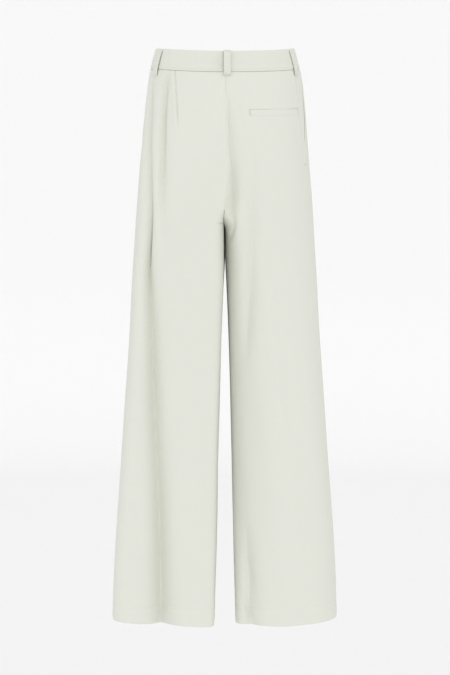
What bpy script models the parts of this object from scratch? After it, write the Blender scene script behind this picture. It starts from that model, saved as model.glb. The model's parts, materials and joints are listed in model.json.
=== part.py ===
"""Wide-leg high-waisted trousers, filled out and empty, held by the waistband.

Frame: metres, +Z up. The back of the trousers faces -Y and the wearer's right is +X.
The origin is in the middle of the hollow waist, level with the waist seam at the sides.

A drop is a distance down from the top of the waistband. At each drop, one half of the trousers
is a section: an outline from the middle of the back (on a leg, from the inseam) round the side
to the middle of the front. Every piece of cloth is a grid of points read from these sections.
"""

import math
from collections import namedtuple

import bmesh
import bpy
import numpy as np
from mathutils import Matrix, Vector

# Lengths
SIDE_LENGTH = 1.083
BAND_HEIGHT = 0.039
SEAT_DROP = 0.200
SPLIT_DROP = 0.150
CROTCH_DROP = 0.320
BACK_DIP = 0.008
FRONT_DIP = 0.014
HEM_RISE_OUTSIDE = 0.0090
HEM_DROP_INSIDE = 0.0015
HEM_DEPTH = 0.029

# Cloth
CLOTH = 0.0012
BAND_CLOTH = 0.0024
BAND_PROUD = 0.0006
TRIM_CLOTH = 0.0010
LOOP_CLOTH = 0.0015
SEAM_GAP = 0.0003
TRIM_LIFT = 0.0009
BAND_CLEARANCE = 0.0016

# Shape of the sections
INSEAM_FORWARD = 0.010
HIP_SQUARENESS = 2.2
SEAM_FADE = 0.012
FOLD_FADE = 0.090
CROTCH_ROUND = 1.4

# Grid of the panels
HIP_ROWS = 6
CROTCH_ROWS = 10
LEG_ROWS = 14
INNER_COLUMNS = 8
OUTER_COLUMNS = 9
ANCHOR = 0.30

LEFT = -1
RIGHT = 1
BACK = "back"
FRONT = "front"

FORM = (
    # drop, half width, depth of the back, depth of the front
    (0.000, 0.1300, 0.097, 0.097),
    (0.039, 0.1402, 0.106, 0.103),
    (0.097, 0.1490, 0.117, 0.110),
    (0.192, 0.1572, 0.126, 0.114),
    (0.287, 0.1647, 0.125, 0.112),
    (0.364, 0.1692, 0.120, 0.110),
    (0.440, 0.1741, 0.116, 0.108),
    (0.535, 0.1793, 0.112, 0.106),
    (0.650, 0.1872, 0.108, 0.103),
    (0.764, 0.1950, 0.105, 0.100),
    (0.878, 0.2032, 0.102, 0.097),
    (0.993, 0.2102, 0.100, 0.094),
    (1.083, 0.2132, 0.098, 0.092),
)

LEG_GAP = (
    # drop, half of the gap between the legs
    (0.320, 0.0005),
    (0.400, 0.0008),
    (0.440, 0.0030),
    (0.535, 0.0070),
    (0.650, 0.0101),
    (0.764, 0.0130),
    (0.878, 0.0150),
    (1.083, 0.0205),
)

RIDGE = (
    # drop, how far from the middle a half reaches furthest back and furthest forward
    (0.000, 0.000),
    (0.100, 0.004),
    (0.200, 0.022),
    (0.320, 0.048),
    (0.450, 0.074),
    (0.650, 0.097),
    (1.083, 0.116),
)

SWAY = (
    # drop, how far the middle of the back hangs over to the right
    (0.000, 0.0045),
    (0.100, 0.0060),
    (0.160, 0.0090),
    (0.250, 0.0095),
    (0.320, 0.0040),
    (0.390, 0.0000),
)

Corner = namedtuple("Corner", "inner_back outer_back front")
LEG_SQUARENESS = {
    LEFT: Corner(inner_back=2.8, outer_back=2.6, front=2.4),
    RIGHT: Corner(inner_back=2.1, outer_back=2.5, front=2.4),
}
SIDE_SEAM_BEHIND = {LEFT: math.radians(3), RIGHT: math.radians(28)}

Fold = namedtuple("Fold", "side face depth spread path")
FOLDS = (
    Fold(LEFT, BACK, 0.0065, 0.024, (
        # drop, distance from the middle
        (0.100, 0.150), (0.290, 0.145), (0.480, 0.139), (0.670, 0.134), (0.860, 0.128), (1.083, 0.121))),
    Fold(LEFT, BACK, 0.0040, 0.013, (
        (0.060, 0.108), (0.120, 0.115), (0.200, 0.117), (0.300, 0.115), (0.400, 0.112))),
    Fold(RIGHT, BACK, 0.0050, 0.015, (
        (0.230, 0.054), (0.390, 0.053), (0.450, 0.047), (0.500, 0.040), (0.580, 0.034))),
    Fold(LEFT, FRONT, 0.0060, 0.022, (
        (0.110, 0.062), (0.400, 0.082), (0.760, 0.104), (1.083, 0.112))),
    Fold(RIGHT, FRONT, 0.0065, 0.024, (
        (0.090, 0.066), (0.400, 0.088), (0.760, 0.098), (1.083, 0.106))),
)

# Belt loops
LOOP_WIDTH = 0.0125
LOOP_BOTTOM = 0.0500
LOOP_LIFT = 0.0014
LOOP_ROWS = 8
Loop = namedtuple("Loop", "name side face share_of_half_width top bow")
LOOPS = (
    Loop("loop_back_left", LEFT, BACK, 0.905, 0.0030, 0.0037),
    Loop("loop_back_centre", RIGHT, BACK, 0.0, -0.0010, 0.0052),
    Loop("loop_back_right", RIGHT, BACK, 0.925, 0.0030, 0.0037),
    Loop("loop_front_left", LEFT, FRONT, 0.62, 0.0010, 0.0037),
    Loop("loop_front_right", RIGHT, FRONT, 0.62, 0.0010, 0.0037),
)

# Back pocket, side pockets, fly and waist fastening
WELT_DROP = 0.113
WELT_HEIGHT = 0.012
WELT_INNER_X = 0.044
WELT_OUTER_X = 0.136
POCKET_SLANT = 0.042
POCKET_END = 0.217
POCKET_EDGE = 0.011
POCKET_INSET = 0.001
FLY_LENGTH = 0.160
FLY_WIDTH = 0.034
FLY_ROUND = 0.036
FLY_TIP = 0.006
TAB_LENGTH = 0.030
TAB_STEP = 0.014
BUTTON_RADIUS = 0.0085
BUTTON_THICKNESS = 0.0032
BUTTON_HOLE_RADIUS = 0.0009
BUTTON_HOLE_SPREAD = 0.0017

CLOTH_COLOUR = (0.74, 0.75, 0.68)
BUTTON_COLOUR = (0.62, 0.60, 0.50)


def ramp(value, start, end):
    """0 up to the start and 1 from the end on, smooth in between."""
    t = np.clip((value - start) / (end - start), 0.0, 1.0)
    return t * t * (3 - 2 * t)


def read_table(table, column, drop):
    """A column of a table at a drop, on a smooth curve through its rows."""
    rows = np.array(table)
    drops = rows[:, 0]
    values = rows[:, column]
    slopes = np.gradient(values, drops)
    drop = np.clip(drop, drops[0], drops[-1])
    row = int(np.clip(np.searchsorted(drops, drop) - 1, 0, len(drops) - 2))
    step = drops[row + 1] - drops[row]
    t = (drop - drops[row]) / step
    at_start = (2 * t**3 - 3 * t**2 + 1) * values[row] + (t**3 - 2 * t**2 + t) * step * slopes[row]
    at_end = (3 * t**2 - 2 * t**3) * values[row + 1] + (t**3 - t**2) * step * slopes[row + 1]
    return float(at_start + at_end)


def crotch_share(drop):
    """How much of the bend from the back round to the inner leg a section has, up to 1 at the crotch."""
    t = np.clip((drop - SPLIT_DROP) / (CROTCH_DROP - SPLIT_DROP), 0.01, 1.0)
    return float(1 - (1 - t) ** CROTCH_ROUND)


def power(values, squareness):
    """The sine or cosine of a superellipse."""
    return np.sign(values) * np.abs(values) ** (2 / squareness)


class Section:
    """One half of the trousers at a drop.

    The turn is 0 at the inner side, a quarter at the back, a half at the side and
    three quarters at the front. The arc is the distance along the cloth from the start.
    """

    def __init__(self, side, drop):
        self.side = side
        self.drop = drop
        self.half_width = read_table(FORM, 1, drop)
        self.ridge = read_table(RIDGE, 1, drop)
        self.gap = read_table(LEG_GAP, 1, drop)
        self.back = read_table(FORM, 2, drop)
        self.front = read_table(FORM, 3, drop)

        self.reach_in = max(self.ridge - self.gap, SEAM_GAP) / crotch_share(drop)
        self.reach_out = self.half_width - self.ridge
        first = self.turn_at_middle(self.squareness(0.0), self.squareness(math.pi * 0.75))
        last = 2 * math.pi - self.turn_at_middle(self.squareness(math.pi * 1.75), self.squareness(math.pi * 1.25))
        self.turn = np.linspace(first, last, 1600)
        self.x, self.y = self.outline()
        self.measure()
        self.fold()
        self.measure()
        side_turn = math.pi - SIDE_SEAM_BEHIND[side]
        self.side_seam = float(np.interp(side_turn, self.turn, self.arc))

    def squareness(self, turn):
        """How square the corner of the section is at a turn."""
        leg = ramp(self.drop, CROTCH_DROP, CROTCH_DROP + 0.25)
        thigh = ramp(self.drop, SEAT_DROP, CROTCH_DROP + 0.15)
        corner = LEG_SQUARENESS[self.side]
        inner_back = HIP_SQUARENESS + (corner.inner_back - HIP_SQUARENESS) * leg
        outer_back = HIP_SQUARENESS + (corner.outer_back - HIP_SQUARENESS) * thigh
        front = HIP_SQUARENESS + (corner.front - HIP_SQUARENESS) * leg
        return np.where(turn < math.pi / 2, inner_back, np.where(turn < math.pi, outer_back, front))

    def turn_at_middle(self, inner_squareness, outer_squareness):
        """The turn where the outline leaves the middle of the trousers, or 0 on a leg."""
        inwards = (self.ridge - SEAM_GAP) / self.reach_in
        if inwards >= 0:
            return math.acos(min(1.0, inwards) ** (inner_squareness / 2))
        outwards = (SEAM_GAP - self.ridge) / self.reach_out
        return math.acos(-(outwards ** (outer_squareness / 2)))

    def outline(self):
        """Quarter superellipses that meet at the ridge, where the half reaches furthest back and forward."""
        turn = self.turn
        squareness = self.squareness(turn)
        forward = INSEAM_FORWARD * ramp(self.drop, SPLIT_DROP, CROTCH_DROP)
        depth = np.where(turn < math.pi, self.back + forward, self.front - forward)
        reach = np.where(np.cos(turn) > 0, self.reach_in, self.reach_out)
        x = self.ridge - reach * power(np.cos(turn), squareness)
        y = forward - depth * power(np.sin(turn), squareness)
        return x, y

    def measure(self):
        """The arc and the outward normal all along the section."""
        step_x = np.gradient(self.x)
        step_y = np.gradient(self.y)
        step = np.hypot(step_x, step_y)
        run = np.hypot(np.diff(self.x), np.diff(self.y))
        self.arc = np.concatenate([[0.0], np.cumsum(run)])
        self.normal_x = step_y / step
        self.normal_y = -step_x / step

    def fold(self):
        """Press each fold that crosses this section inwards, as a soft trough."""
        inwards = np.zeros_like(self.x)
        for fold in FOLDS:
            drops, distances = np.array(fold.path).T
            if fold.side != self.side or not drops[0] < self.drop <= drops[-1]:
                continue
            share = ramp(self.drop, drops[0], drops[0] + FOLD_FADE)
            if drops[-1] < SIDE_LENGTH:
                share *= 1 - ramp(self.drop, drops[-1] - FOLD_FADE, drops[-1])
            distance = min(np.interp(self.drop, drops, distances), 0.985 * self.half_width)
            away = (self.arc - self.arc_at(distance, fold.face)) / fold.spread
            inwards += fold.depth * share * np.exp(-away * away)
        from_seam = np.minimum(self.arc, self.arc[-1] - self.arc)
        inwards *= 1 - np.exp(-((from_seam / SEAM_FADE) ** 2))
        self.x = self.x - self.normal_x * inwards
        self.y = self.y - self.normal_y * inwards

    def arc_at(self, distance, face):
        """The arc where the back or the front is at a distance from the middle."""
        at_side = int(np.argmax(self.x))
        if face == BACK:
            return float(np.interp(distance, self.x[:at_side], self.arc[:at_side]))
        return float(np.interp(distance, self.x[at_side:][::-1], self.arc[at_side:][::-1]))

    def points(self, arcs, lift=0.0):
        """Points of the cloth at some arcs, moved out of it by the lift."""
        arcs = np.asarray(arcs, float)
        x = np.interp(arcs, self.arc, self.x)
        y = np.interp(arcs, self.arc, self.y)
        backward = np.clip(-y / self.back, 0.0, 1.0)
        forward = np.clip(y / self.front, 0.0, 1.0)
        z = BAND_HEIGHT - self.drop
        z = z - (BACK_DIP * backward**2 + FRONT_DIP * forward**2) * (1 - ramp(self.drop, BAND_HEIGHT, SEAT_DROP))
        across = (x - self.ridge) / self.reach_out
        tilt = np.where(across > 0, HEM_RISE_OUTSIDE, HEM_DROP_INSIDE) * across
        z = z + tilt * ramp(self.drop, 0.5, SIDE_LENGTH)
        x = x + np.interp(arcs, self.arc, self.normal_x) * lift
        y = y + np.interp(arcs, self.arc, self.normal_y) * lift
        sway = np.interp(self.drop, *np.array(SWAY).T) * ramp(backward, 0.2, 0.8)
        x = x * self.side + sway * np.exp(-((x / 0.055) ** 2))
        return np.stack([x, y, z + 0 * x], axis=1)

    def back_stations(self):
        """Arcs of the back panel's points, closer together at its seams."""
        start = SEAM_GAP / 2
        anchor = self.arc_at(ANCHOR * self.half_width, BACK)
        end = self.side_seam - SEAM_GAP / 2
        inner = start + (anchor - start) * np.linspace(0, 1, INNER_COLUMNS + 1) ** 1.2
        outer = end - (end - anchor) * np.linspace(1, 0, OUTER_COLUMNS + 1) ** 1.3
        return np.concatenate([inner, outer[1:]])

    def front_stations(self):
        """Arcs of the front panel's points, from the side seam to the middle of the front."""
        start = self.side_seam + SEAM_GAP / 2
        anchor = self.arc_at(ANCHOR * self.half_width, FRONT)
        end = self.arc[-1] - SEAM_GAP / 2
        outer = start + (anchor - start) * np.linspace(0, 1, OUTER_COLUMNS + 1) ** 1.3
        inner = end - (end - anchor) * np.linspace(1, 0, INNER_COLUMNS + 1) ** 1.2
        return np.concatenate([outer, inner[1:]])


def material(name, colour, roughness):
    """A plain finish."""
    finish = bpy.data.materials.new(name)
    finish.use_nodes = True
    shader = finish.node_tree.nodes["Principled BSDF"]
    shader.inputs["Base Color"].default_value = (*colour, 1.0)
    shader.inputs["Roughness"].default_value = roughness
    return finish


def keep(mesh, name, finish):
    """Put a mesh in the scene as a named piece."""
    mesh.materials.append(finish)
    piece = bpy.data.objects.new(name, mesh)
    bpy.data.collections["trousers"].objects.link(piece)
    return piece


def cloth(name, grid, side, thickness, outwards=False, closed=False):
    """A wall of cloth on a grid of points that runs down and, by the arc, from back to front."""
    rows, columns = grid.shape[:2]
    index = np.arange(rows * columns).reshape(rows, columns)
    if closed:
        index = np.concatenate([index, index[:, :1]], axis=1)
    quads = np.stack([index[:-1, :-1], index[:-1, 1:], index[1:, 1:], index[1:, :-1]], axis=-1).reshape(-1, 4)
    if side == RIGHT:
        quads = quads[:, ::-1]
    mesh = bpy.data.meshes.new(name)
    mesh.from_pydata(grid.reshape(-1, 3).tolist(), [], quads.tolist())
    mesh.shade_smooth()
    piece = keep(mesh, name, bpy.data.materials["cloth"])
    wall = piece.modifiers.new("wall", "SOLIDIFY")
    wall.thickness = thickness
    wall.offset = 1.0 if outwards else -1.0
    return piece


def panel_drops():
    """Rows of the panels: even down the hip and the leg, and closer round the crotch seam."""
    hip = np.linspace(BAND_HEIGHT + SEAM_GAP, SEAT_DROP, HIP_ROWS + 1)
    bend = SEAT_DROP + (CROTCH_DROP - SEAT_DROP) * np.sin(np.linspace(0, math.pi / 2, CROTCH_ROWS + 1))
    leg = np.linspace(CROTCH_DROP, SIDE_LENGTH, LEG_ROWS + 1)
    return np.concatenate([hip, bend[1:], leg[1:]])


def make_panels():
    """Two backs and two fronts, from the waist seam to the hem."""
    for side, word in ((LEFT, "left"), (RIGHT, "right")):
        sections = [Section(side, drop) for drop in panel_drops()]
        back = np.array([section.points(section.back_stations()) for section in sections])
        front = np.array([section.points(section.front_stations()) for section in sections])
        cloth(f"back_{word}", back, side, CLOTH)
        cloth(f"front_{word}", front, side, CLOTH)


def make_hems():
    """The turned-up cloth inside the end of each leg."""
    lift = -(CLOTH + SEAM_GAP)
    drops = (SIDE_LENGTH - HEM_DEPTH, SIDE_LENGTH - HEM_DEPTH / 2, SIDE_LENGTH - SEAM_GAP)
    for side, word in ((LEFT, "left"), (RIGHT, "right")):
        rows = []
        for drop in drops:
            section = Section(side, drop)
            arcs = np.concatenate([section.back_stations()[:-1], section.front_stations()[:-1]])
            rows.append(section.points(arcs, lift))
        cloth(f"hem_{word}", np.array(rows), side, TRIM_CLOTH, closed=True)


def make_waistband():
    """One piece round the back and two fronts, the right one lapping over the left."""
    drops = np.linspace(0, BAND_HEIGHT - SEAM_GAP, 4)
    back = []
    front_left = []
    front_right = []
    for drop in drops:
        left = Section(LEFT, drop)
        right = Section(RIGHT, drop)
        left_half = left.points(left.back_stations()[::-1], BAND_PROUD)
        right_half = right.points(right.back_stations(), BAND_PROUD)
        back.append(np.concatenate([left_half[:-1], right_half[1:]]))
        front_left.append(left.points(left.front_stations(), BAND_PROUD))
        arcs = right.front_stations()
        over = BAND_CLOTH + 1.5 * SEAM_GAP
        step = over * ramp(arcs, right.arc[-1] - TAB_STEP, right.arc[-1] - 0.002)
        lap = np.linspace(left.arc[-1] - 0.004, left.arc[-1] - TAB_LENGTH, 5)
        front_right.append(np.concatenate([
            right.points(arcs, BAND_PROUD + step),
            left.points(lap, BAND_PROUD + over),
        ]))
    cloth("waistband_back", np.array(back), RIGHT, BAND_CLOTH)
    cloth("waistband_front_left", np.array(front_left), LEFT, BAND_CLOTH)
    cloth("waistband_front_right", np.array(front_right), RIGHT, BAND_CLOTH)


def make_loops():
    """Belt loops, sewn down above the waistband and below the waist seam and bowed out between."""
    for loop in LOOPS:
        rows = []
        for t in np.linspace(0, 1, LOOP_ROWS + 1):
            section = Section(loop.side, loop.top + (LOOP_BOTTOM - loop.top) * t)
            lift = LOOP_LIFT + loop.bow * (1 - (2 * t - 1) ** 4)
            across = np.array([-0.5, 0.0, 0.5]) * LOOP_WIDTH
            if loop.share_of_half_width:
                middle = section.arc_at(loop.share_of_half_width * section.half_width, loop.face)
                rows.append(section.points(middle + across, lift))
            else:
                right = section.points([LOOP_WIDTH / 2], lift)
                left = Section(LEFT, section.drop).points([LOOP_WIDTH / 2], lift)
                rows.append(np.concatenate([left, (left + right) / 2, right]))
        cloth(loop.name, np.array(rows), loop.side, LOOP_CLOTH, outwards=True)


def make_welt():
    """The folded strip under the mouth of the back pocket, on the right only."""
    rows = []
    for drop in np.linspace(WELT_DROP, WELT_DROP + WELT_HEIGHT, 3):
        section = Section(RIGHT, drop)
        ends = [section.arc_at(x, BACK) for x in (WELT_INNER_X, WELT_OUTER_X)]
        rows.append(section.points(np.linspace(*ends, 11), TRIM_LIFT))
    cloth("welt_back_right", np.array(rows), RIGHT, TRIM_CLOTH, outwards=True)


def make_pocket_edges():
    """The turned edge of each side pocket, slanting from the waist seam back to the side seam."""
    for side, word in ((LEFT, "left"), (RIGHT, "right")):
        rows = []
        for t in np.linspace(0, 1, 9):
            section = Section(side, BAND_HEIGHT + BAND_CLEARANCE + (POCKET_END - BAND_HEIGHT) * t)
            start = section.side_seam + POCKET_INSET + POCKET_SLANT * (1 - t)
            rows.append(section.points(np.linspace(start, start + POCKET_EDGE, 3), TRIM_LIFT))
        cloth(f"pocket_edge_{word}", np.array(rows), side, TRIM_CLOTH, outwards=True)


def make_fly():
    """The flap over the front fastening, rounded off at its lower end."""
    straight = [(drop, FLY_WIDTH) for drop in np.linspace(0, FLY_LENGTH - FLY_ROUND, 6)]
    angles = np.linspace(0, math.pi / 2, 8)[1:]
    rounded = [
        (FLY_LENGTH - FLY_ROUND * (1 - math.sin(angle)), FLY_TIP + (FLY_WIDTH - FLY_TIP) * math.cos(angle))
        for angle in angles
    ]
    rows = []
    for drop, width in straight + rounded:
        section = Section(RIGHT, BAND_HEIGHT + BAND_CLEARANCE + drop)
        end = section.arc[-1] - SEAM_GAP
        rows.append(section.points(np.linspace(end - width, end, 5), TRIM_LIFT))
    cloth("fly", np.array(rows), RIGHT, TRIM_CLOTH, outwards=True)


def make_button():
    """A sew-through button with a rim and four holes, on the lap of the waistband."""
    half = BUTTON_THICKNESS / 2
    profile = (
        # radius, height
        (0.0, half * 0.55), (0.55, half * 0.55), (0.72, half), (0.88, half),
        (1.0, half * 0.35), (1.0, -half * 0.5), (0.85, -half), (0.0, -half),
    )
    mesh = bpy.data.meshes.new("waist_button")
    shape = bmesh.new()
    corners = [shape.verts.new((radius * BUTTON_RADIUS, 0.0, height)) for radius, height in profile]
    edges = [shape.edges.new(pair) for pair in zip(corners, corners[1:])]
    bmesh.ops.spin(shape, geom=corners + edges, cent=(0, 0, 0), axis=(0, 0, 1), angle=2 * math.pi, steps=24)
    bmesh.ops.remove_doubles(shape, verts=shape.verts, dist=0.00001)
    bmesh.ops.recalc_face_normals(shape, faces=shape.faces)

    proud = BAND_PROUD + BAND_CLOTH + 1.5 * SEAM_GAP
    rows = []
    for drop in (BAND_HEIGHT / 2 - BUTTON_RADIUS, BAND_HEIGHT / 2, BAND_HEIGHT / 2 + BUTTON_RADIUS):
        section = Section(LEFT, drop)
        arc = section.arc[-1] - TAB_LENGTH / 2
        rows.append(section.points([arc - BUTTON_RADIUS, arc, arc + BUTTON_RADIUS], proud))
    down = Vector(rows[2][1] - rows[0][1])
    along = Vector(rows[1][2] - rows[1][0])
    outwards = along.cross(down).normalized()
    centre = Vector(rows[1][1]) + outwards * (half + 0.0006)
    place = Matrix.Translation(centre) @ outwards.to_track_quat("Z", "Y").to_matrix().to_4x4()
    shape.transform(place)
    shape.to_mesh(mesh)
    shape.free()
    button = keep(mesh, "waist_button", bpy.data.materials["button"])

    drill = bmesh.new()
    for x in (-BUTTON_HOLE_SPREAD, BUTTON_HOLE_SPREAD):
        for y in (-BUTTON_HOLE_SPREAD, BUTTON_HOLE_SPREAD):
            bmesh.ops.create_cone(
                drill, cap_ends=True, segments=8, radius1=BUTTON_HOLE_RADIUS, radius2=BUTTON_HOLE_RADIUS,
                depth=3 * BUTTON_THICKNESS, matrix=place @ Matrix.Translation((x, y, 0)))
    drill_mesh = bpy.data.meshes.new("button_holes")
    drill.to_mesh(drill_mesh)
    drill.free()
    cutter = bpy.data.objects.new("button_holes", drill_mesh)
    cutter.hide_render = True
    cutter.display_type = "WIRE"
    bpy.data.collections["cutters"].objects.link(cutter)
    holes = button.modifiers.new("holes", "BOOLEAN")
    holes.operation = "DIFFERENCE"
    holes.object = cutter


def main():
    for old in list(bpy.data.objects):
        bpy.data.objects.remove(old)
    for name in ("trousers", "cutters"):
        bpy.context.scene.collection.children.link(bpy.data.collections.new(name))
    material("cloth", CLOTH_COLOUR, 0.85)
    material("button", BUTTON_COLOUR, 0.4)
    make_panels()
    make_hems()
    make_waistband()
    make_loops()
    make_welt()
    make_pocket_edges()
    make_fly()
    make_button()


main()
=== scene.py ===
"""Wide-leg high-waisted trousers, seen from behind: cloth, sewing, button and a plain studio.

Metres, +Z up. The back of the trousers faces -Y and the wearer's right is +X. A drop is a distance
down from the top of the waistband, an arc is a distance along the cloth from the middle of the back
(on a leg, from the inseam) round the side to the middle of the front, and a lift is a distance out
of the cloth.
"""

import json
import math
from collections import namedtuple

import bpy
import numpy as np
from bpy.props import FloatProperty, FloatVectorProperty, PointerProperty
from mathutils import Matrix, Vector


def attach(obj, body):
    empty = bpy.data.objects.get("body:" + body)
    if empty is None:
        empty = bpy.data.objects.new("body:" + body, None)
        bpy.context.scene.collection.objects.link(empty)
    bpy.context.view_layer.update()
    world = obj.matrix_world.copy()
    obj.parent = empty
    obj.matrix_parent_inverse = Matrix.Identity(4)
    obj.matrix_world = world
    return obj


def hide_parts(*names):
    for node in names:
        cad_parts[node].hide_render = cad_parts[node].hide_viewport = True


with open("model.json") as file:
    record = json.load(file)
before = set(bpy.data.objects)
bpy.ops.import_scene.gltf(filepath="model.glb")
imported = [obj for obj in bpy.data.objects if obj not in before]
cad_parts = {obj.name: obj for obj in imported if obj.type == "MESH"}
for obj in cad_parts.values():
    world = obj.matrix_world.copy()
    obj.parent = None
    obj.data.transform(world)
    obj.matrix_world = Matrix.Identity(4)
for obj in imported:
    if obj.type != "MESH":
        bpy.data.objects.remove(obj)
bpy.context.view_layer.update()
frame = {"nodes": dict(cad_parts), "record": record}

bl_info = {
    "name": "Wide-leg trousers",
    "version": (1, 0, 0),
    "blender": (4, 5, 0),
    "location": "3D View > Sidebar > Trousers",
    "description": "Cloth, sewing, button and studio for a pair of wide-leg trousers",
    "category": "Object",
}

SLOT_COLOURS = {entry["slot"]: entry["base_color"] for entry in frame["record"]["materials"]}

LEFT = -1
RIGHT = 1
BACK = "back"
FRONT = "front"
WORDS = {LEFT: "left", RIGHT: "right"}

# Lengths, as in the solids but for the crotch, which is 25 mm lower
SIDE_LENGTH = 1.083
BAND_HEIGHT = 0.039
SEAT_DROP = 0.200
SPLIT_DROP = 0.150
CROTCH_DROP = 0.345
BACK_DIP = 0.008
FRONT_DIP = 0.014
HEM_RISE_OUTSIDE = 0.0090
HEM_DROP_INSIDE = 0.0015
HEM_DEPTH = 0.029
SEAM_GAP = 0.0003
MIDDLE_GAP = 0.00005
SEAM_HOLD = 0.003
INSEAM_FORWARD = 0.010
HIP_SQUARENESS = 2.2
CROTCH_ROUND = 1.4
SEAT_ROUND = 14
BEND = 0.035
SWAY_WIDTH = 0.055

# Cloth
CLOTH = 0.0012
TRIM_CLOTH = 0.0007
BAND_CLOTH = 0.0024
BAND_PROUD = 0.0006
LOOP_CLOTH = 0.0015
TRIM_LIFT = 0.0002
BAND_CLEARANCE = 0.0016

# Seams
EDGE_ROLL = 0.0007
EDGE_WIDTH = 0.0011
ALLOWANCE_LIFT = 0.0003
ALLOWANCE_WIDTH = 0.011
PUCKER = 0.00022
PUCKER_LENGTH = 0.017
PUCKER_REACH = 0.007
HEM_LINE = SIDE_LENGTH - 0.032
SAMPLES = 1800
INNER_CORNER = 0.018
CROWDING = 3
SOFT_ROLL = 0.0003
SEAM_STRIP = 0.003
# Half width of the painted shade that darkens the cloth's colour along each seam
PAINTED_SHADE_WIDTH = 0.0016
THREAD_SIDES = 6
NORMAL_STEP = 0.001

FORM = (
    # drop, half width, depth of the back, depth of the front
    (0.000, 0.1300, 0.097, 0.097),
    (0.039, 0.1402, 0.106, 0.103),
    (0.097, 0.1490, 0.117, 0.110),
    (0.192, 0.1572, 0.126, 0.114),
    (0.287, 0.1647, 0.125, 0.112),
    (0.364, 0.1692, 0.120, 0.110),
    (0.440, 0.1741, 0.116, 0.108),
    (0.535, 0.1793, 0.112, 0.106),
    (0.650, 0.1872, 0.108, 0.103),
    (0.764, 0.1950, 0.105, 0.100),
    (0.878, 0.2032, 0.102, 0.097),
    (0.993, 0.2102, 0.100, 0.094),
    (1.083, 0.2132, 0.098, 0.092),
)

LEG_GAP = (
    # drop, half of the gap between the legs
    (0.320, 0.0005),
    (0.400, 0.0008),
    (0.440, 0.0030),
    (0.535, 0.0070),
    (0.650, 0.0101),
    (0.764, 0.0130),
    (0.878, 0.0150),
    (1.083, 0.0205),
)

RIDGE = (
    # drop, how far from the middle a half reaches furthest back and furthest forward
    (0.000, 0.000),
    (0.100, 0.004),
    (0.200, 0.022),
    (0.320, 0.048),
    (0.450, 0.074),
    (0.650, 0.097),
    (1.083, 0.116),
)

SWAY = (
    # drop, how far the middle of the back hangs over to the right
    (0.000, 0.0010),
    (0.051, 0.0010),
    (0.142, 0.0029),
    (0.215, 0.0060),
    (0.274, 0.0029),
    (0.316, -0.0025),
    (0.380, -0.0025),
    (0.440, 0.0000),
)

LEAN = (
    # drop, how much further forward the inner edge of the right leg's back is than its middle
    (0.325, 0.000),
    (0.365, 0.028),
    (0.450, 0.040),
    (0.700, 0.050),
    (0.900, 0.048),
    (1.083, 0.036),
)

Corner = namedtuple("Corner", "hip_back inner_seat inner_back outer_back front")
SQUARENESS = {
    LEFT: Corner(hip_back=2.1, inner_seat=8.0, inner_back=12.0, outer_back=7.0, front=2.4),
    RIGHT: Corner(hip_back=2.8, inner_seat=4.0, inner_back=14.0, outer_back=3.4, front=2.4),
}
SIDE_SEAM_BEHIND = {LEFT: math.radians(3), RIGHT: math.radians(28)}

FOLD_SHARPNESS = 1.35
FOLD_LIMIT = 0.985
LEAN_POWER = 1.7
WAVES = (
    # height, length round the leg, length down it, phase
    (0.0004, 0.083, 0.9, 0.4),
    (0.0003, 0.049, -0.5, 1.9),
)

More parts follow.
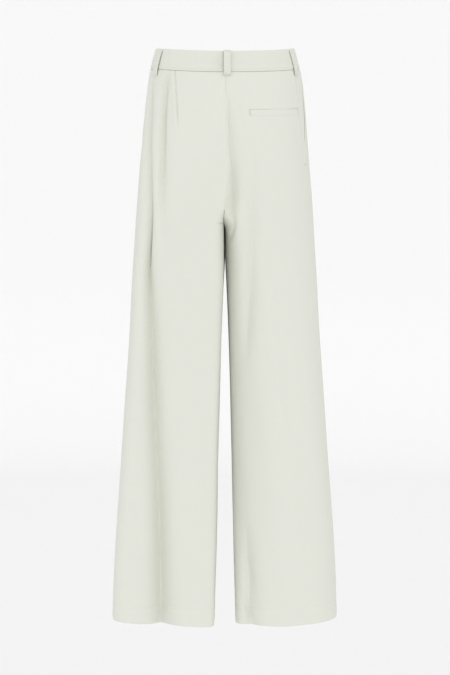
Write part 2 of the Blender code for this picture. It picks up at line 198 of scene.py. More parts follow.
# Long folds pressed into the cloth
Fold = namedtuple("Fold", "side face path")
FOLDS = (
    Fold(LEFT, BACK, (
        # drop, distance from the middle, half width inwards, half width outwards, depth
        (0.043, 0.1385, 0.012, 0.006, 0.0000),
        (0.078, 0.1420, 0.013, 0.007, 0.0110),
        (0.130, 0.1470, 0.015, 0.009, 0.0200),
        (0.190, 0.1500, 0.016, 0.011, 0.0260),
        (0.290, 0.1510, 0.017, 0.013, 0.0300),
        (0.380, 0.1480, 0.017, 0.014, 0.0300),
        (0.480, 0.1400, 0.018, 0.014, 0.0290),
        (0.670, 0.1325, 0.018, 0.015, 0.0310),
        (0.860, 0.1245, 0.021, 0.016, 0.0350),
        (1.083, 0.1205, 0.024, 0.019, 0.0430),
    )),
    Fold(LEFT, BACK, (
        (0.043, 0.1060, 0.006, 0.010, 0.0000),
        (0.070, 0.1120, 0.007, 0.012, 0.0130),
        (0.120, 0.1180, 0.008, 0.012, 0.0190),
        (0.200, 0.1200, 0.010, 0.011, 0.0180),
        (0.300, 0.1180, 0.013, 0.012, 0.0110),
        (0.360, 0.1150, 0.014, 0.014, 0.0060),
        (0.440, 0.1110, 0.014, 0.014, 0.0000),
    )),
    Fold(LEFT, BACK, (
        (0.060, 0.0200, 0.006, 0.006, 0.0000),
        (0.085, 0.0198, 0.006, 0.006, 0.0008),
        (0.115, 0.0196, 0.006, 0.006, 0.0008),
        (0.140, 0.0194, 0.006, 0.006, 0.0000),
    )),
    Fold(RIGHT, BACK, (
        (0.055, 0.0050, 0.003, 0.012, 0.0000),
        (0.090, 0.0050, 0.003, 0.014, 0.0030),
        (0.145, 0.0055, 0.003, 0.018, 0.0070),
        (0.195, 0.0065, 0.004, 0.018, 0.0085),
        (0.249, 0.0115, 0.006, 0.014, 0.0150),
        (0.290, 0.0140, 0.008, 0.013, 0.0170),
        (0.325, 0.0135, 0.009, 0.013, 0.0120),
        (0.365, 0.0100, 0.010, 0.012, 0.0000),
    )),
    Fold(RIGHT, BACK, (
        (0.170, 0.0535, 0.010, 0.010, 0.0000),
        (0.270, 0.0535, 0.011, 0.010, 0.0060),
        (0.364, 0.0525, 0.012, 0.011, 0.0100),
        (0.440, 0.0470, 0.013, 0.012, 0.0120),
        (0.510, 0.0430, 0.013, 0.013, 0.0100),
        (0.600, 0.0380, 0.014, 0.014, 0.0000),
    )),
    Fold(RIGHT, BACK, (
        (0.880, 0.0400, 0.010, 0.010, 0.0000),
        (0.960, 0.0430, 0.010, 0.012, 0.0070),
        (1.020, 0.0450, 0.010, 0.014, 0.0110),
        (1.083, 0.0460, 0.010, 0.014, 0.0130),
    )),
    Fold(LEFT, FRONT, (
        (0.080, 0.0600, 0.018, 0.018, 0.0000),
        (0.180, 0.0670, 0.019, 0.019, 0.0060),
        (0.400, 0.0820, 0.022, 0.022, 0.0095),
        (0.760, 0.1040, 0.024, 0.024, 0.0110),
        (1.083, 0.1120, 0.024, 0.024, 0.0110),
    )),
    Fold(LEFT, FRONT, (
        (0.190, 0.0300, 0.011, 0.011, 0.0000),
        (0.280, 0.0360, 0.012, 0.012, 0.0045),
        (0.400, 0.0400, 0.013, 0.013, 0.0050),
        (0.560, 0.0430, 0.014, 0.014, 0.0000),
    )),
    Fold(RIGHT, FRONT, (
        (0.070, 0.0640, 0.018, 0.018, 0.0000),
        (0.170, 0.0700, 0.020, 0.020, 0.0070),
        (0.400, 0.0880, 0.022, 0.022, 0.0100),
        (0.760, 0.0980, 0.024, 0.024, 0.0115),
        (1.083, 0.1060, 0.024, 0.024, 0.0105),
    )),
    Fold(RIGHT, FRONT, (
        (0.220, 0.0340, 0.010, 0.010, 0.0000),
        (0.300, 0.0380, 0.012, 0.012, 0.0040),
        (0.430, 0.0400, 0.013, 0.013, 0.0035),
        (0.520, 0.0410, 0.013, 0.013, 0.0000),
    )),
)

# Short straight creases, each from one place to another. Where the depth is below 0, it stands out.
Crease = namedtuple(
    "Crease", "side face start_drop start_distance end_drop end_distance half_width depth")
CREASES = (
    Crease(RIGHT, BACK, 0.102, 0.0270, 0.139, 0.0270, 0.005, 0.0018),
    Crease(RIGHT, BACK, 0.230, 0.0240, 0.440, 0.0300, 0.010, -0.0012),
    Crease(RIGHT, BACK, 0.960, 0.0425, 1.015, 0.0520, 0.006, 0.0026),
    Crease(RIGHT, BACK, 1.030, 0.0310, 1.083, 0.0560, 0.006, 0.0032),
    Crease(LEFT, BACK, 1.064, 0.1516, 1.090, 0.1516, 0.004, 0.0016),
    Crease(LEFT, FRONT, 0.270, 0.0150, 0.330, 0.0750, 0.009, 0.0020),
    Crease(RIGHT, FRONT, 0.280, 0.0150, 0.350, 0.0800, 0.009, 0.0022),
    Crease(RIGHT, FRONT, 0.990, 0.0520, 1.040, 0.0700, 0.008, 0.0014),
)

# Belt loops
LOOP_WIDTH = 0.0125
LOOP_LIFT = 0.0014
LOOP_SHIFT = np.array([0.0033, 0.0, 0.0])
LOOP_TILT = 0.005
BAND_SEAM = 0.0040
GROOVE_DEPTH = 0.0018
BAND_RIDGE = 0.0010
LAP_GAP = 1.5 * SEAM_GAP
Loop = namedtuple("Loop", "name side face share_of_half_width top bottom bow")
LOOPS = (
    Loop("loop_back_left", LEFT, BACK, 0.905, 0.0030, 0.0500, 0.0014),
    Loop("loop_back_centre", RIGHT, BACK, 0.0, -0.0010, 0.0462, 0.0040),
    Loop("loop_back_right", RIGHT, BACK, 0.925, 0.0030, 0.0500, 0.0014),
    Loop("loop_front_left", LEFT, FRONT, 0.62, 0.0010, 0.0500, 0.0037),
    Loop("loop_front_right", RIGHT, FRONT, 0.62, 0.0010, 0.0500, 0.0037),
)

# Dart, back pocket, side pockets, fly and waist fastening
DART_TOP = 0.0935
DART_END = 0.0860
DART_LENGTH = 0.120
DART_DEPTH = 0.0026
DART_RIDGE = 0.0016
DART_FULLNESS = 0.0010
DART_STRIP = 0.0028
WELT_DROP = 0.113
WELT_HEIGHT = 0.012
WELT_INNER_X = 0.044
WELT_OUTER_X = 0.136
SLIT_DEPTH = 0.0001
SLIT_OPENING = 0.0008
SLIT_WIDTH = 0.0010
MOUTH_RISE = 0.0010
POCKET_SLANT = 0.042
POCKET_END = 0.217
POCKET_EDGE = 0.011
POCKET_INSET = 0.001
POCKET_RECESS = {LEFT: 0.0016, RIGHT: 0.0}
FLY_LENGTH = 0.160
FLY_WIDTH = 0.034
FLY_ROUND = 0.036
FLY_TIP = 0.006
TAB_LENGTH = 0.030
TAB_STEP = 0.014
BUTTON_RADIUS = 0.0085
BUTTON_THICKNESS = 0.0032
BUTTON_STAND = 0.0006
BUTTON_HOLE_SPREAD = 0.0017

# Camera, 4.6 m behind the trousers and looking a little down
CAMERA_PLACE = (0.0, -4.6, -0.18164)
CAMERA_DOWN = math.radians(4.043)
CAMERA_LENS = 129.33
CAMERA_SENSOR = 36.0

# Studio
FLOOR_REACH = 14.0
WALL_PLACE = 8.0
WALL_ROUND = 1.0
LIT_PLACE = (0.0, 0.0, -0.5)
LIGHT_PLACES = {
    "front": (0.25, -4.63, 1.37),
    "left": (-4.4, -1.9, 0.2),
    "right": (4.4, -1.9, 0.2),
    "above": (0.0, 0.3, 6.0),
}


# ---------------------------------------------------------------- form of the trousers


def ramp(value, start, end):
    """0 up to the start and 1 from the end on, smooth in between: t t (3 - 2 t)."""
    t = np.clip((value - start) / (end - start), 0.0, 1.0)
    return t * t * (3 - 2 * t)


def hump(value, centre, half_width):
    """1 at the centre, falling off as the exponential of minus the squared distance in half widths."""
    return np.exp(-(((value - centre) / half_width) ** 2))


def plateau(value, rise, fall):
    """1 between a rise and a fall, each a ramp given by its two ends, and 0 outside them."""
    return ramp(value, *rise) * (1 - ramp(value, *fall))


def unit(vectors):
    """The vectors at length 1."""
    return vectors / np.linalg.norm(vectors, axis=-1, keepdims=True)


def read_table(table, column, drop):
    """A column of a table at many drops: a cubic through its rows with the rows' mean slopes."""
    rows = np.array(table)
    drops = rows[:, 0]
    values = rows[:, column]
    slopes = np.gradient(values, drops)
    drop = np.clip(drop, drops[0], drops[-1])
    row = np.clip(np.searchsorted(drops, drop) - 1, 0, len(drops) - 2)
    step = drops[row + 1] - drops[row]
    t = (drop - drops[row]) / step
    at_start = (2 * t**3 - 3 * t**2 + 1) * values[row] + (t**3 - 2 * t**2 + t) * step * slopes[row]
    at_end = (3 * t**2 - 2 * t**3) * values[row + 1] + (t**3 - t**2) * step * slopes[row + 1]
    return at_start + at_end


def read_rows(places, known, values):
    """The values of each row at some places of the same row, linear between the known places.

    The rows are laid end to end, each shifted past the last, so that one search serves them all.
    """
    rows = np.arange(len(known))[:, None]
    shift = rows * (np.ptp(known) + np.ptp(places) + 1.0)
    found = np.searchsorted((known + shift).ravel(), (places + shift).ravel()).reshape(places.shape)
    column = np.clip(found - rows * known.shape[1], 1, known.shape[1] - 1)
    low = np.take_along_axis(known, column - 1, axis=1)
    high = np.take_along_axis(known, column, axis=1)
    t = np.clip((places - low) / np.maximum(high - low, 1e-9), 0.0, 1.0)
    before = np.take_along_axis(values, column - 1, axis=1)
    after = np.take_along_axis(values, column, axis=1)
    return before + (after - before) * t


def share_at_front(drop):
    """How much of the bend from the front round to the inner leg a row has, up to 1 at the crotch."""
    t = np.clip((drop - SPLIT_DROP) / (CROTCH_DROP - SPLIT_DROP), 0.01, 1.0)
    return 1 - (1 - t) ** CROTCH_ROUND


def share_at_back(drop, squareness):
    """The same at the back, so that the middle seam is as deep on both halves whatever their
    squareness: its depth, as a share of the full depth, falls slowly at first and then fast."""
    t = np.clip((drop - SPLIT_DROP) / (CROTCH_DROP - SPLIT_DROP), 0.0, 1.0)
    depth = (1 - t**SEAT_ROUND) ** 1.2
    return np.maximum((1 - depth**squareness) ** (1 / squareness), 0.01)


def crowd(turn, crowding):
    """Crowd turns towards both ends of their quarters, where a superellipse has its corners.

    With the share s of a quarter, it becomes s to a power over the sum of that and of 1 - s to it.
    """
    quarter, share = np.divmod(turn / (math.pi / 2), 1.0)
    low, high = share**crowding, (1 - share) ** crowding
    return (quarter + low / (low + high)) * (math.pi / 2)


def power(values, squareness):
    """The sine or cosine of a superellipse: the value to the power of 2 over the squareness."""
    return np.sign(values) * np.abs(values) ** (2 / squareness)


class Half:
    """One half of the trousers at many drops at once, a row for each drop.

    Each row is four quarter superellipses round a ridge: x is the ridge less the reach times the
    cosine of the turn, and y is the forward shift less the depth times its sine, each to the power
    of 2 over the squareness. The folds then press the row inwards along its own normal.
    """

    def __init__(self, side, drops):
        self.side = side
        self.drop = np.asarray(drops, float).reshape(-1, 1)
        self.half_width = read_table(FORM, 1, self.drop)
        self.back = read_table(FORM, 2, self.drop)
        self.front = read_table(FORM, 3, self.drop)
        self.ridge = read_table(RIDGE, 1, self.drop)
        self.gap = read_table(LEG_GAP, 1, self.drop)
        inner = np.maximum(self.ridge - self.gap, MIDDLE_GAP)
        inner_back = self.squareness(np.zeros_like(self.drop))
        self.reach_in_back = inner / share_at_back(self.drop, inner_back)
        self.reach_in_front = inner / share_at_front(self.drop)
        self.reach_out = self.half_width - self.ridge
        first = self.turn_at_middle(self.reach_in_back, 0.0, math.pi * 0.75)
        last = 2 * math.pi - self.turn_at_middle(self.reach_in_front, math.pi * 1.75, math.pi * 1.25)
        first, last = crowd(first, 1 / CROWDING), crowd(last, 1 / CROWDING)
        self.turn = crowd(first + (last - first) * np.linspace(0, 1, SAMPLES), CROWDING)
        self.x, self.y = self.outline()
        self.measure()
        self.press()
        self.measure()
        side_turn = np.full_like(self.drop, math.pi - SIDE_SEAM_BEHIND[side])
        self.side_seam = read_rows(side_turn, self.turn, self.arc)
        self.start = np.zeros_like(self.drop)
        self.end = self.arc[:, -1:]

    def squareness(self, turn):
        """How square the corner of each row is at a turn."""
        leg = ramp(self.drop, CROTCH_DROP, CROTCH_DROP + 0.25)
        thigh = ramp(self.drop, SEAT_DROP - 0.08, CROTCH_DROP + 0.10)
        seat = ramp(self.drop, SPLIT_DROP, CROTCH_DROP)
        corner = SQUARENESS[self.side]
        inner_back = HIP_SQUARENESS + (corner.inner_seat - HIP_SQUARENESS) * seat
        inner_back = inner_back + (corner.inner_back - corner.inner_seat) * leg
        outer_back = corner.hip_back + (corner.outer_back - corner.hip_back) * thigh
        front = HIP_SQUARENESS + (corner.front - HIP_SQUARENESS) * leg
        return np.where(turn < math.pi / 2, inner_back, np.where(turn < math.pi, outer_back, front))

    def turn_at_middle(self, reach_in, inner_turn, outer_turn):
        """The turn where each row leaves the middle of the trousers, or 0 on a leg."""
        inner = self.squareness(np.full_like(self.drop, inner_turn))
        outer = self.squareness(np.full_like(self.drop, outer_turn))
        inwards = (self.ridge - MIDDLE_GAP) / reach_in
        outwards = (MIDDLE_GAP - self.ridge) / self.reach_out
        on_inside = np.arccos(np.clip(inwards, 0, 1) ** (inner / 2))
        on_outside = np.arccos(-(np.clip(outwards, 0, 1) ** (outer / 2)))
        return np.where(inwards >= 0, on_inside, on_outside)

    def outline(self):
        """The four quarters, before the folds."""
        squareness = self.squareness(self.turn)
        forward = INSEAM_FORWARD * ramp(self.drop, SPLIT_DROP, CROTCH_DROP)
        depth = np.where(self.turn < math.pi, self.back + forward, self.front - forward)
        reach_in = np.where(self.turn < math.pi, self.reach_in_back, self.reach_in_front)
        reach = np.where(np.cos(self.turn) > 0, reach_in, self.reach_out)
        x = self.ridge - reach * power(np.cos(self.turn), squareness)
        y = forward - depth * power(np.sin(self.turn), squareness)
        return x, y

    def measure(self):
        """The arc and the outward normal all along each row."""
        step_x = np.gradient(self.x, axis=1)
        step_y = np.gradient(self.y, axis=1)
        step = np.maximum(np.hypot(step_x, step_y), 1e-9)
        run = np.hypot(np.diff(self.x, axis=1), np.diff(self.y, axis=1))
        self.arc = np.concatenate([np.zeros_like(self.drop), np.cumsum(run, axis=1)], axis=1)
        self.normal_x = step_y / step
        self.normal_y = -step_x / step

    def press(self):
        """Press the folds and creases inwards along the normal, and let the cloth wave a little.

        Nothing moves at the seams. The inner edge of the right leg's back then leans forward, by
        a power of the share of the way from the ridge to it.
        """
        inwards = np.zeros_like(self.x)
        for fold in FOLDS:
            if fold.side == self.side:
                inwards += self.long_fold(fold)
        for crease in CREASES:
            if crease.side == self.side:
                inwards += self.short_crease(crease)
        below_band = ramp(self.drop, BAND_HEIGHT, BAND_HEIGHT + 0.05)
        from_side = self.arc - read_rows(np.full_like(self.drop, math.pi), self.turn, self.arc)
        for height, length_round, length_down, phase in WAVES:
            turns = from_side / length_round + self.drop / length_down
            inwards += height * below_band * np.sin(2 * math.pi * turns + phase * self.side)
        from_seam = np.minimum(self.arc, self.arc[:, -1:] - self.arc)
        held = 1 - np.exp(-((from_seam / SEAM_HOLD) ** 2))
        self.x = self.x - self.normal_x * inwards * held
        self.y = self.y - self.normal_y * inwards * held
        if self.side == RIGHT:
            across = np.clip((self.ridge - self.x) / self.reach_in_back, 0.0, 1.0)
            across = across * (self.turn < math.pi / 2)
            backward = power(np.abs(np.sin(self.turn)), self.squareness(self.turn))
            lean = read_table(LEAN, 1, self.drop) * across**LEAN_POWER
            self.y = self.y + lean * backward * held

    def long_fold(self, fold):
        """The depth of a long fold: at its bottom that of its path, and away from it less by the
        exponential of minus the distance in half widths to a power, which is sharper than a bell."""
        distance = np.minimum(read_table(fold.path, 1, self.drop), FOLD_LIMIT * self.half_width)
        inner, outer, depth = (read_table(fold.path, column, self.drop) for column in (2, 3, 4))
        inside = (self.drop >= fold.path[0][0]) & (self.drop <= fold.path[-1][0] + 0.001)
        away = (self.arc - self.arc_at(distance, fold.face)) * (1 if fold.face == BACK else -1)
        away = np.abs(away) / np.where(away < 0, inner, outer)
        return depth * inside * np.exp(-(away**FOLD_SHARPNESS))

    def short_crease(self, crease):
        """The depth of a straight crease: a bell across it and a flatter bell along it."""
        down = crease.end_drop - crease.start_drop
        across = crease.end_distance - crease.start_distance
        length = math.hypot(down, across)
        from_start = self.drop - crease.start_drop
        from_side = self.x - crease.start_distance
        along = (from_start * down + from_side * across) / length**2
        away = (from_side * down - from_start * across) / length
        on_face = self.y < 0 if crease.face == BACK else self.y > 0
        depth = crease.depth * hump(away, 0, crease.half_width)
        return depth * np.exp(-((2 * along - 1) ** 4)) * on_face

    def arc_at(self, distance, face):
        """The arc where the back or the front of each row is at a distance from the middle."""
        if face == BACK:
            return read_rows(distance, np.maximum.accumulate(self.x, axis=1), self.arc)
        return read_rows(distance, np.maximum.accumulate(self.x[:, ::-1], axis=1), self.arc[:, ::-1])

    def arc_at_x(self, x):
        """The arc where the back of each row is at one distance from the middle."""
        return self.arc_at(np.full_like(self.drop, x), BACK)

    def place(self, arcs, lift=0.0):
        """Points of the cloth at some arcs of each row, moved out of it by the lift.

        The height is the waist seam's less the drop, less a dip at the middle of the back and of
        the front that fades out down the hip, plus the tilt of the hem.
        """
        arcs = np.broadcast_to(arcs, (len(self.drop), np.shape(arcs)[-1]))
        x = read_rows(arcs, self.arc, self.x)
        y = read_rows(arcs, self.arc, self.y)
        backward = np.clip(-y / self.back, 0.0, 1.0)
        forward = np.clip(y / self.front, 0.0, 1.0)
        dip = BACK_DIP * backward**2 + FRONT_DIP * forward**2
        across = (x - self.ridge) / self.reach_out
        tilt = np.where(across > 0, HEM_RISE_OUTSIDE, HEM_DROP_INSIDE) * across
        z = BAND_HEIGHT - self.drop - dip * (1 - ramp(self.drop, BAND_HEIGHT, SEAT_DROP))
        z = z + tilt * ramp(self.drop, 0.5, SIDE_LENGTH)
        x = x + read_rows(arcs, self.arc, self.normal_x) * lift
        y = y + read_rows(arcs, self.arc, self.normal_y) * lift
        sway = np.interp(self.drop, *np.array(SWAY).T) * ramp(backward, 0.2, 0.8)
        x = x * self.side + sway * np.exp(-((x / SWAY_WIDTH) ** 2))
        return np.stack([x, y, z], axis=-1)

    def surface(self, arcs, lift=0.0):
        """Points of the cloth at some arcs of each row, and the outward normals there."""
        points = self.place(arcs, lift)
        return points, (self.place(arcs, lift + NORMAL_STEP) - points) / NORMAL_STEP


def stations(edges, counts):
    """Places from edge to edge, evenly spaced between each two edges. An edge has one place a row."""
    runs = [
        start + (end - start) * np.arange(count) / count
        for start, end, count in zip(edges, edges[1:], counts)
    ]
    return np.concatenate([*runs, edges[-1]], axis=-1)


# ---------------------------------------------------------------- meshes


def lay_flat(points, grain):
    """Where each point of a grid was on the flat cloth.

    Across is the length along its row, counted from the column that the grain follows.
    Down is the mean length along the columns.
    """
    across = np.cumsum(np.linalg.norm(np.diff(points, axis=1, prepend=points[:, :1]), axis=2), axis=1)
    across = across - across[:, grain][:, None]
    down = np.cumsum(np.linalg.norm(np.diff(points, axis=0, prepend=points[:1]), axis=2), axis=0)
    down = np.broadcast_to(down.mean(axis=1, keepdims=True), across.shape)
    return np.stack([across, down], axis=-1)


def cut_size(points):
    """The width, length and area of the flat cloth that covers a grid of points."""
    across = np.linalg.norm(np.diff(points, axis=1), axis=2).sum(axis=1)
    down = np.linalg.norm(np.diff(points, axis=0), axis=2).sum(axis=0)
    side_by_side = np.cross(points[:-1, 1:] - points[:-1, :-1], points[1:, :-1] - points[:-1, :-1])
    area = float(np.linalg.norm(side_by_side, axis=2).sum())
    width, length = float(across.max()), float(down.max())
    return (width, length), min(area, width * length)


def grid_quads(order):
    """The four corners of each cell of a grid of vertex numbers."""
    corners = [order[:-1, :-1], order[:-1, 1:], order[1:, 1:], order[1:, :-1]]
    return np.stack(corners, axis=-1).reshape(-1, 4)


def grid_piece(
    name, points, finish, flip=False, wrap_rows=False, wrap_columns=False, seam=None, grain=0,
):
    """A surface on a grid of points[row, column], facing along column cross row, or the other way.

    A grid that wraps one way only is closed at its two ends by a face each.
    """
    rows, columns = points.shape[:2]
    grids = np.arange(rows * columns).reshape(rows, columns), points
    if wrap_rows:
        grids = [np.concatenate([grid, grid[:1]], axis=0) for grid in grids]
    if wrap_columns:
        grids = [np.concatenate([grid, grid[:, :1]], axis=1) for grid in grids]
    index, corners = grids
    quads = grid_quads(np.arange(index.size).reshape(index.shape))
    if flip:
        quads = quads[:, ::-1]
    faces = index.ravel()[quads].tolist()
    places = lay_flat(corners, grain).reshape(-1, 2)[quads.ravel()]
    if wrap_rows != wrap_columns:
        ends = end_loops(index, wrap_columns, flip)
        faces += [end.tolist() for end in ends]
        places = np.concatenate([places, np.zeros((sum(len(end) for end in ends), 2))])
    mesh = bpy.data.meshes.new(name)
    mesh.from_pydata(points.reshape(-1, 3).tolist(), [], faces)
    layer = mesh.uv_layers.new(name="cloth")
    layer.data.foreach_set("uv", places.ravel())
    # The seam attribute carries the painted shade along the seams, 0 where none is given
    shade = mesh.attributes.new("seam", "FLOAT", "POINT")
    shade.data.foreach_set("value", np.zeros(rows * columns) if seam is None else np.ravel(seam))
    return finish_piece(name, mesh, finish)


def end_loops(index, wrap_columns, flip):
    """The vertices round the two open ends of a tube, in the order that makes them face outwards."""
    if wrap_columns:
        ends = index[0, :-1][::-1], index[-1, :-1]
    else:
        ends = index[:-1, 0], index[:-1, -1][::-1]
    return [end[::-1] if flip else end for end in ends]


def finish_piece(name, mesh, finish):
    """Smooth the mesh, give it its finish and put it in the scene."""
    mesh.shade_smooth()
    mesh.set_sharp_from_angle(angle=math.radians(50))
    mesh.materials.append(finish)
    piece = bpy.data.objects.new(name, mesh)
    bpy.context.scene.collection.objects.link(piece)
    return piece


def cloth_piece(
    name, node, points, slot="cloth", thickness=0.0, outwards=True, cut=None, held="folded",
    rests_on=(), **grid,
):
    """A piece of cloth on a grid of points, given its thickness where the grid is one side of it and
    the part that it replaces, which it hides. What it rides on and was cut from are not used."""
    piece = grid_piece(name, points, finish_for(slot), **grid)
    if thickness:
        wall = piece.modifiers.new("cloth", "SOLIDIFY")
        wall.thickness = thickness
        wall.offset = 1.0 if outwards else -1.0
        wall.use_even_offset = True
    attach(piece, "root")
    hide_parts(node)


def threads(name, runs, length, thickness=1.0, rings=6):
    """Many short threads, from runs of their places, directions and outward normals.

    Along each, the radius is the thread's times the root of the sine, and the middle stands out by
    the sine, so that both ends go down into the cloth.
    """
    centres, along, outwards = (np.concatenate(group) for group in zip(*runs))
    radius = bpy.context.scene.trousers_sewing.thread_radius * thickness
    t = np.linspace(0, 1, rings)
    swell = np.maximum(np.sin(math.pi * t), 0.03)
    angles = np.arange(THREAD_SIDES) * 2 * math.pi / THREAD_SIDES
    along = unit(along)
    across = unit(np.cross(outwards, along))
    outwards = np.cross(along, across)
    width = (radius * np.sqrt(swell))[:, None]
    ring_along = ((t - 0.5) * length)[:, None] * np.ones(THREAD_SIDES)
    ring_out = (swell * 1.6 * radius - radius)[:, None] + width * np.sin(angles)
    ring_across = width * np.cos(angles)
    points = (
        centres[:, None, None, :]
        + ring_along[None, :, :, None] * along[:, None, None, :]
        + ring_across[None, :, :, None] * across[:, None, None, :]
        + ring_out[None, :, :, None] * outwards[:, None, None, :]
    )
    ring = np.arange(rings * THREAD_SIDES).reshape(rings, THREAD_SIDES)
    quads = grid_quads(np.concatenate([ring, ring[:, :1]], axis=1))
    offsets = np.arange(len(centres))[:, None, None] * (rings * THREAD_SIDES)
    walls = (quads[None] + offsets).reshape(-1, 4).tolist()
    first = (ring[0, ::-1][None] + offsets[:, 0]).tolist()
    last = (ring[-1][None] + offsets[:, 0]).tolist()
    mesh = bpy.data.meshes.new(name)
    mesh.from_pydata(points.reshape(-1, 3).tolist(), [], walls + first + last)
    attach(finish_piece(name, mesh, finish_for("thread")), "root")


def run_of_stitches(path, outwards):
    """Places, directions and outward normals at the stitches' even pitch along a path."""
    pitch = bpy.context.scene.trousers_sewing.stitch_pitch
    length = np.concatenate([[0.0], np.cumsum(np.linalg.norm(np.diff(path, axis=0), axis=1))])
    count = max(1, int(length[-1] / pitch))
    middles = (np.arange(count) + 0.5) * length[-1] / count
    return [
        np.stack([np.interp(middles, length, column) for column in table.T], axis=1)
        for table in (path, np.gradient(path, length, axis=0), outwards)
    ]


def sew_row(name, path, outwards):
    """A row of stitches along a path of places, one in each row of a half."""
    run = run_of_stitches(path[:, 0], outwards[:, 0])
    threads(name, [run], bpy.context.scene.trousers_sewing.stitch_length)


# ---------------------------------------------------------------- finishes


def fill(tree, node, sockets):
    """Put values or links into some of a node's sockets."""
    for key, value in sockets.items():
        if isinstance(value, bpy.types.NodeSocket):
            tree.links.new(value, node.inputs[key])
        else:
            node.inputs[key].default_value = value


def add_node(tree, kind, sockets=None, **settings):
    """A node with its settings, and with values or links in its sockets."""
    node = tree.nodes.new(kind)
    for key, value in settings.items():
        setattr(node, key, value)
    fill(tree, node, sockets or {})
    return node


def math_node(tree, operation, first, second=0.0):
    """The result of a Math node."""
    return add_node(tree, "ShaderNodeMath", {0: first, 1: second}, operation=operation).outputs[0]


def scaled(tree, value, factor, added):
    """A value times a factor, plus a number."""
    return math_node(tree, "ADD", math_node(tree, "MULTIPLY", value, factor), added)


def from_middle(tree, value, strength):
    """How far the value of a noise is from its middle, times a strength."""
    return math_node(tree, "MULTIPLY", math_node(tree, "SUBTRACT", value, 0.5), strength)


def tinted(tree, colour, value):
    """A colour times a value."""
    sockets = {0: tuple(colour), "Scale": value}
    return add_node(tree, "ShaderNodeVectorMath", sockets, operation="SCALE").outputs["Vector"]


def noise(tree, place, scale, detail):
    """The result of a Noise Texture node."""
    sockets = {"Vector": place, "Scale": scale, "Detail": detail}
    return add_node(tree, "ShaderNodeTexNoise", sockets).outputs["Fac"]


def new_group(name, inputs, output):
    """A shader node group with a vector and some numbers coming in and one number going out."""
    group = bpy.data.node_groups.new(name, "ShaderNodeTree")
    group.interface.new_socket("Vector", in_out="INPUT", socket_type="NodeSocketVector")
    for label, value in inputs.items():
        socket = group.interface.new_socket(label, in_out="INPUT", socket_type="NodeSocketFloat")
        socket.default_value = value
    group.interface.new_socket(output, in_out="OUTPUT", socket_type="NodeSocketFloat")
    return group, group.nodes.new("NodeGroupInput").outputs, group.nodes.new("NodeGroupOutput")


def plain_weave_group():
    """Plain weave: warp and weft are half waves, and each is on top where both waves have one sign."""
    group, start, end = new_group("plain weave", {"Thread Spacing": 0.0006}, "Height")
    place = add_node(group, "ShaderNodeSeparateXYZ", {0: start["Vector"]})
    waves = []
    for axis in (0, 1):
        count = math_node(group, "DIVIDE", place.outputs[axis], start["Thread Spacing"])
        waves.append(math_node(group, "SINE", math_node(group, "MULTIPLY", count, math.pi)))
    on_top = math_node(group, "GREATER_THAN", math_node(group, "MULTIPLY", *waves), 0.0)
    warp, weft = (math_node(group, "ABSOLUTE", wave) for wave in waves)
    chosen = math_node(group, "MULTIPLY", warp, on_top)
    below = math_node(group, "MULTIPLY", weft, math_node(group, "SUBTRACT", 1.0, on_top))
    fill(group, end, {"Height": math_node(group, "ADD", chosen, below)})
    return group


def slub_group():
    """Slubs: thick stretches of yarn, as noise that is drawn out along the warp and along the weft."""
    group, start, end = new_group("slubs", {"Thickness": 0.0011, "Length": 0.024}, "Slub")
    fine, coarse = (math_node(group, "DIVIDE", 1.0, start[key]) for key in ("Thickness", "Length"))
    streaks = []
    for x, y, shift in ((fine, coarse, 0.0), (coarse, fine, 7.3)):
        place = start["Vector"]
        scale = add_node(group, "ShaderNodeCombineXYZ", {0: x, 1: y, 2: 1.0}).outputs[0]
        for operation, by in (("MULTIPLY", scale), ("ADD", (shift, shift, shift))):
            sockets = {0: place, 1: by}
            place = add_node(group, "ShaderNodeVectorMath", sockets, operation=operation).outputs[0]
        streaks.append(noise(group, place, 1.0, 2.0))
    both = math_node(group, "MULTIPLY", math_node(group, "ADD", *streaks), 0.5)
    fill(group, end, {"Slub": both})
    return group


def mottle_group():
    """Uneven tone: broad soft noise round the middle value."""
    group, start, end = new_group("uneven tone", {"Size": 0.06}, "Tone")
    scale = math_node(group, "DIVIDE", 1.0, start["Size"])
    fill(group, end, {"Tone": noise(group, start["Vector"], scale, 3.0)})
    return group


def new_finish(name):
    """A material, its node tree and its shader."""
    finish = bpy.data.materials.new(name)
    finish.use_nodes = True
    return finish, finish.node_tree, finish.node_tree.nodes["Principled BSDF"]


def cloth_finish(name, colour, settings):
    """Woven cloth: threads and slubs in its bump, slubs and uneven tone in its colour, a soft sheen."""
    finish, tree, shader = new_finish(name)
    place = add_node(tree, "ShaderNodeUVMap", uv_map="cloth").outputs[0]
    weave, slubs, tone = (
        group_node(tree, label, place) for label in ("plain weave", "slubs", "uneven tone")
    )
    weave.inputs["Thread Spacing"].default_value = settings.thread_spacing
    seam = add_node(tree, "ShaderNodeAttribute", attribute_name="seam").outputs["Fac"]

    slub_shade = from_middle(tree, slubs.outputs["Slub"], settings.slub_strength)
    tone_shade = from_middle(tree, tone.outputs["Tone"], settings.tone_strength)
    light = math_node(tree, "ADD", math_node(tree, "ADD", slub_shade, tone_shade), 1.0)
    # Painted shade: the seam attribute darkens the colour along the seams
    painted_darkening = math_node(tree, "MULTIPLY", seam, settings.painted_seam_darkness)
    height = scaled(tree, weave.outputs["Height"], 0.5, slubs.outputs["Slub"])
    bump = add_node(tree, "ShaderNodeBump", {"Height": height, "Distance": settings.weave_depth})
    fill(tree, shader, {
        "Base Color": tinted(tree, colour, math_node(tree, "SUBTRACT", light, painted_darkening)),
        "Normal": bump.outputs["Normal"],
        "Roughness": scaled(tree, slub_shade, -1.0, settings.roughness),
        "Sheen Weight": settings.sheen,
        "Sheen Roughness": 0.5,
        "Specular IOR Level": 0.25,
    })
    return finish


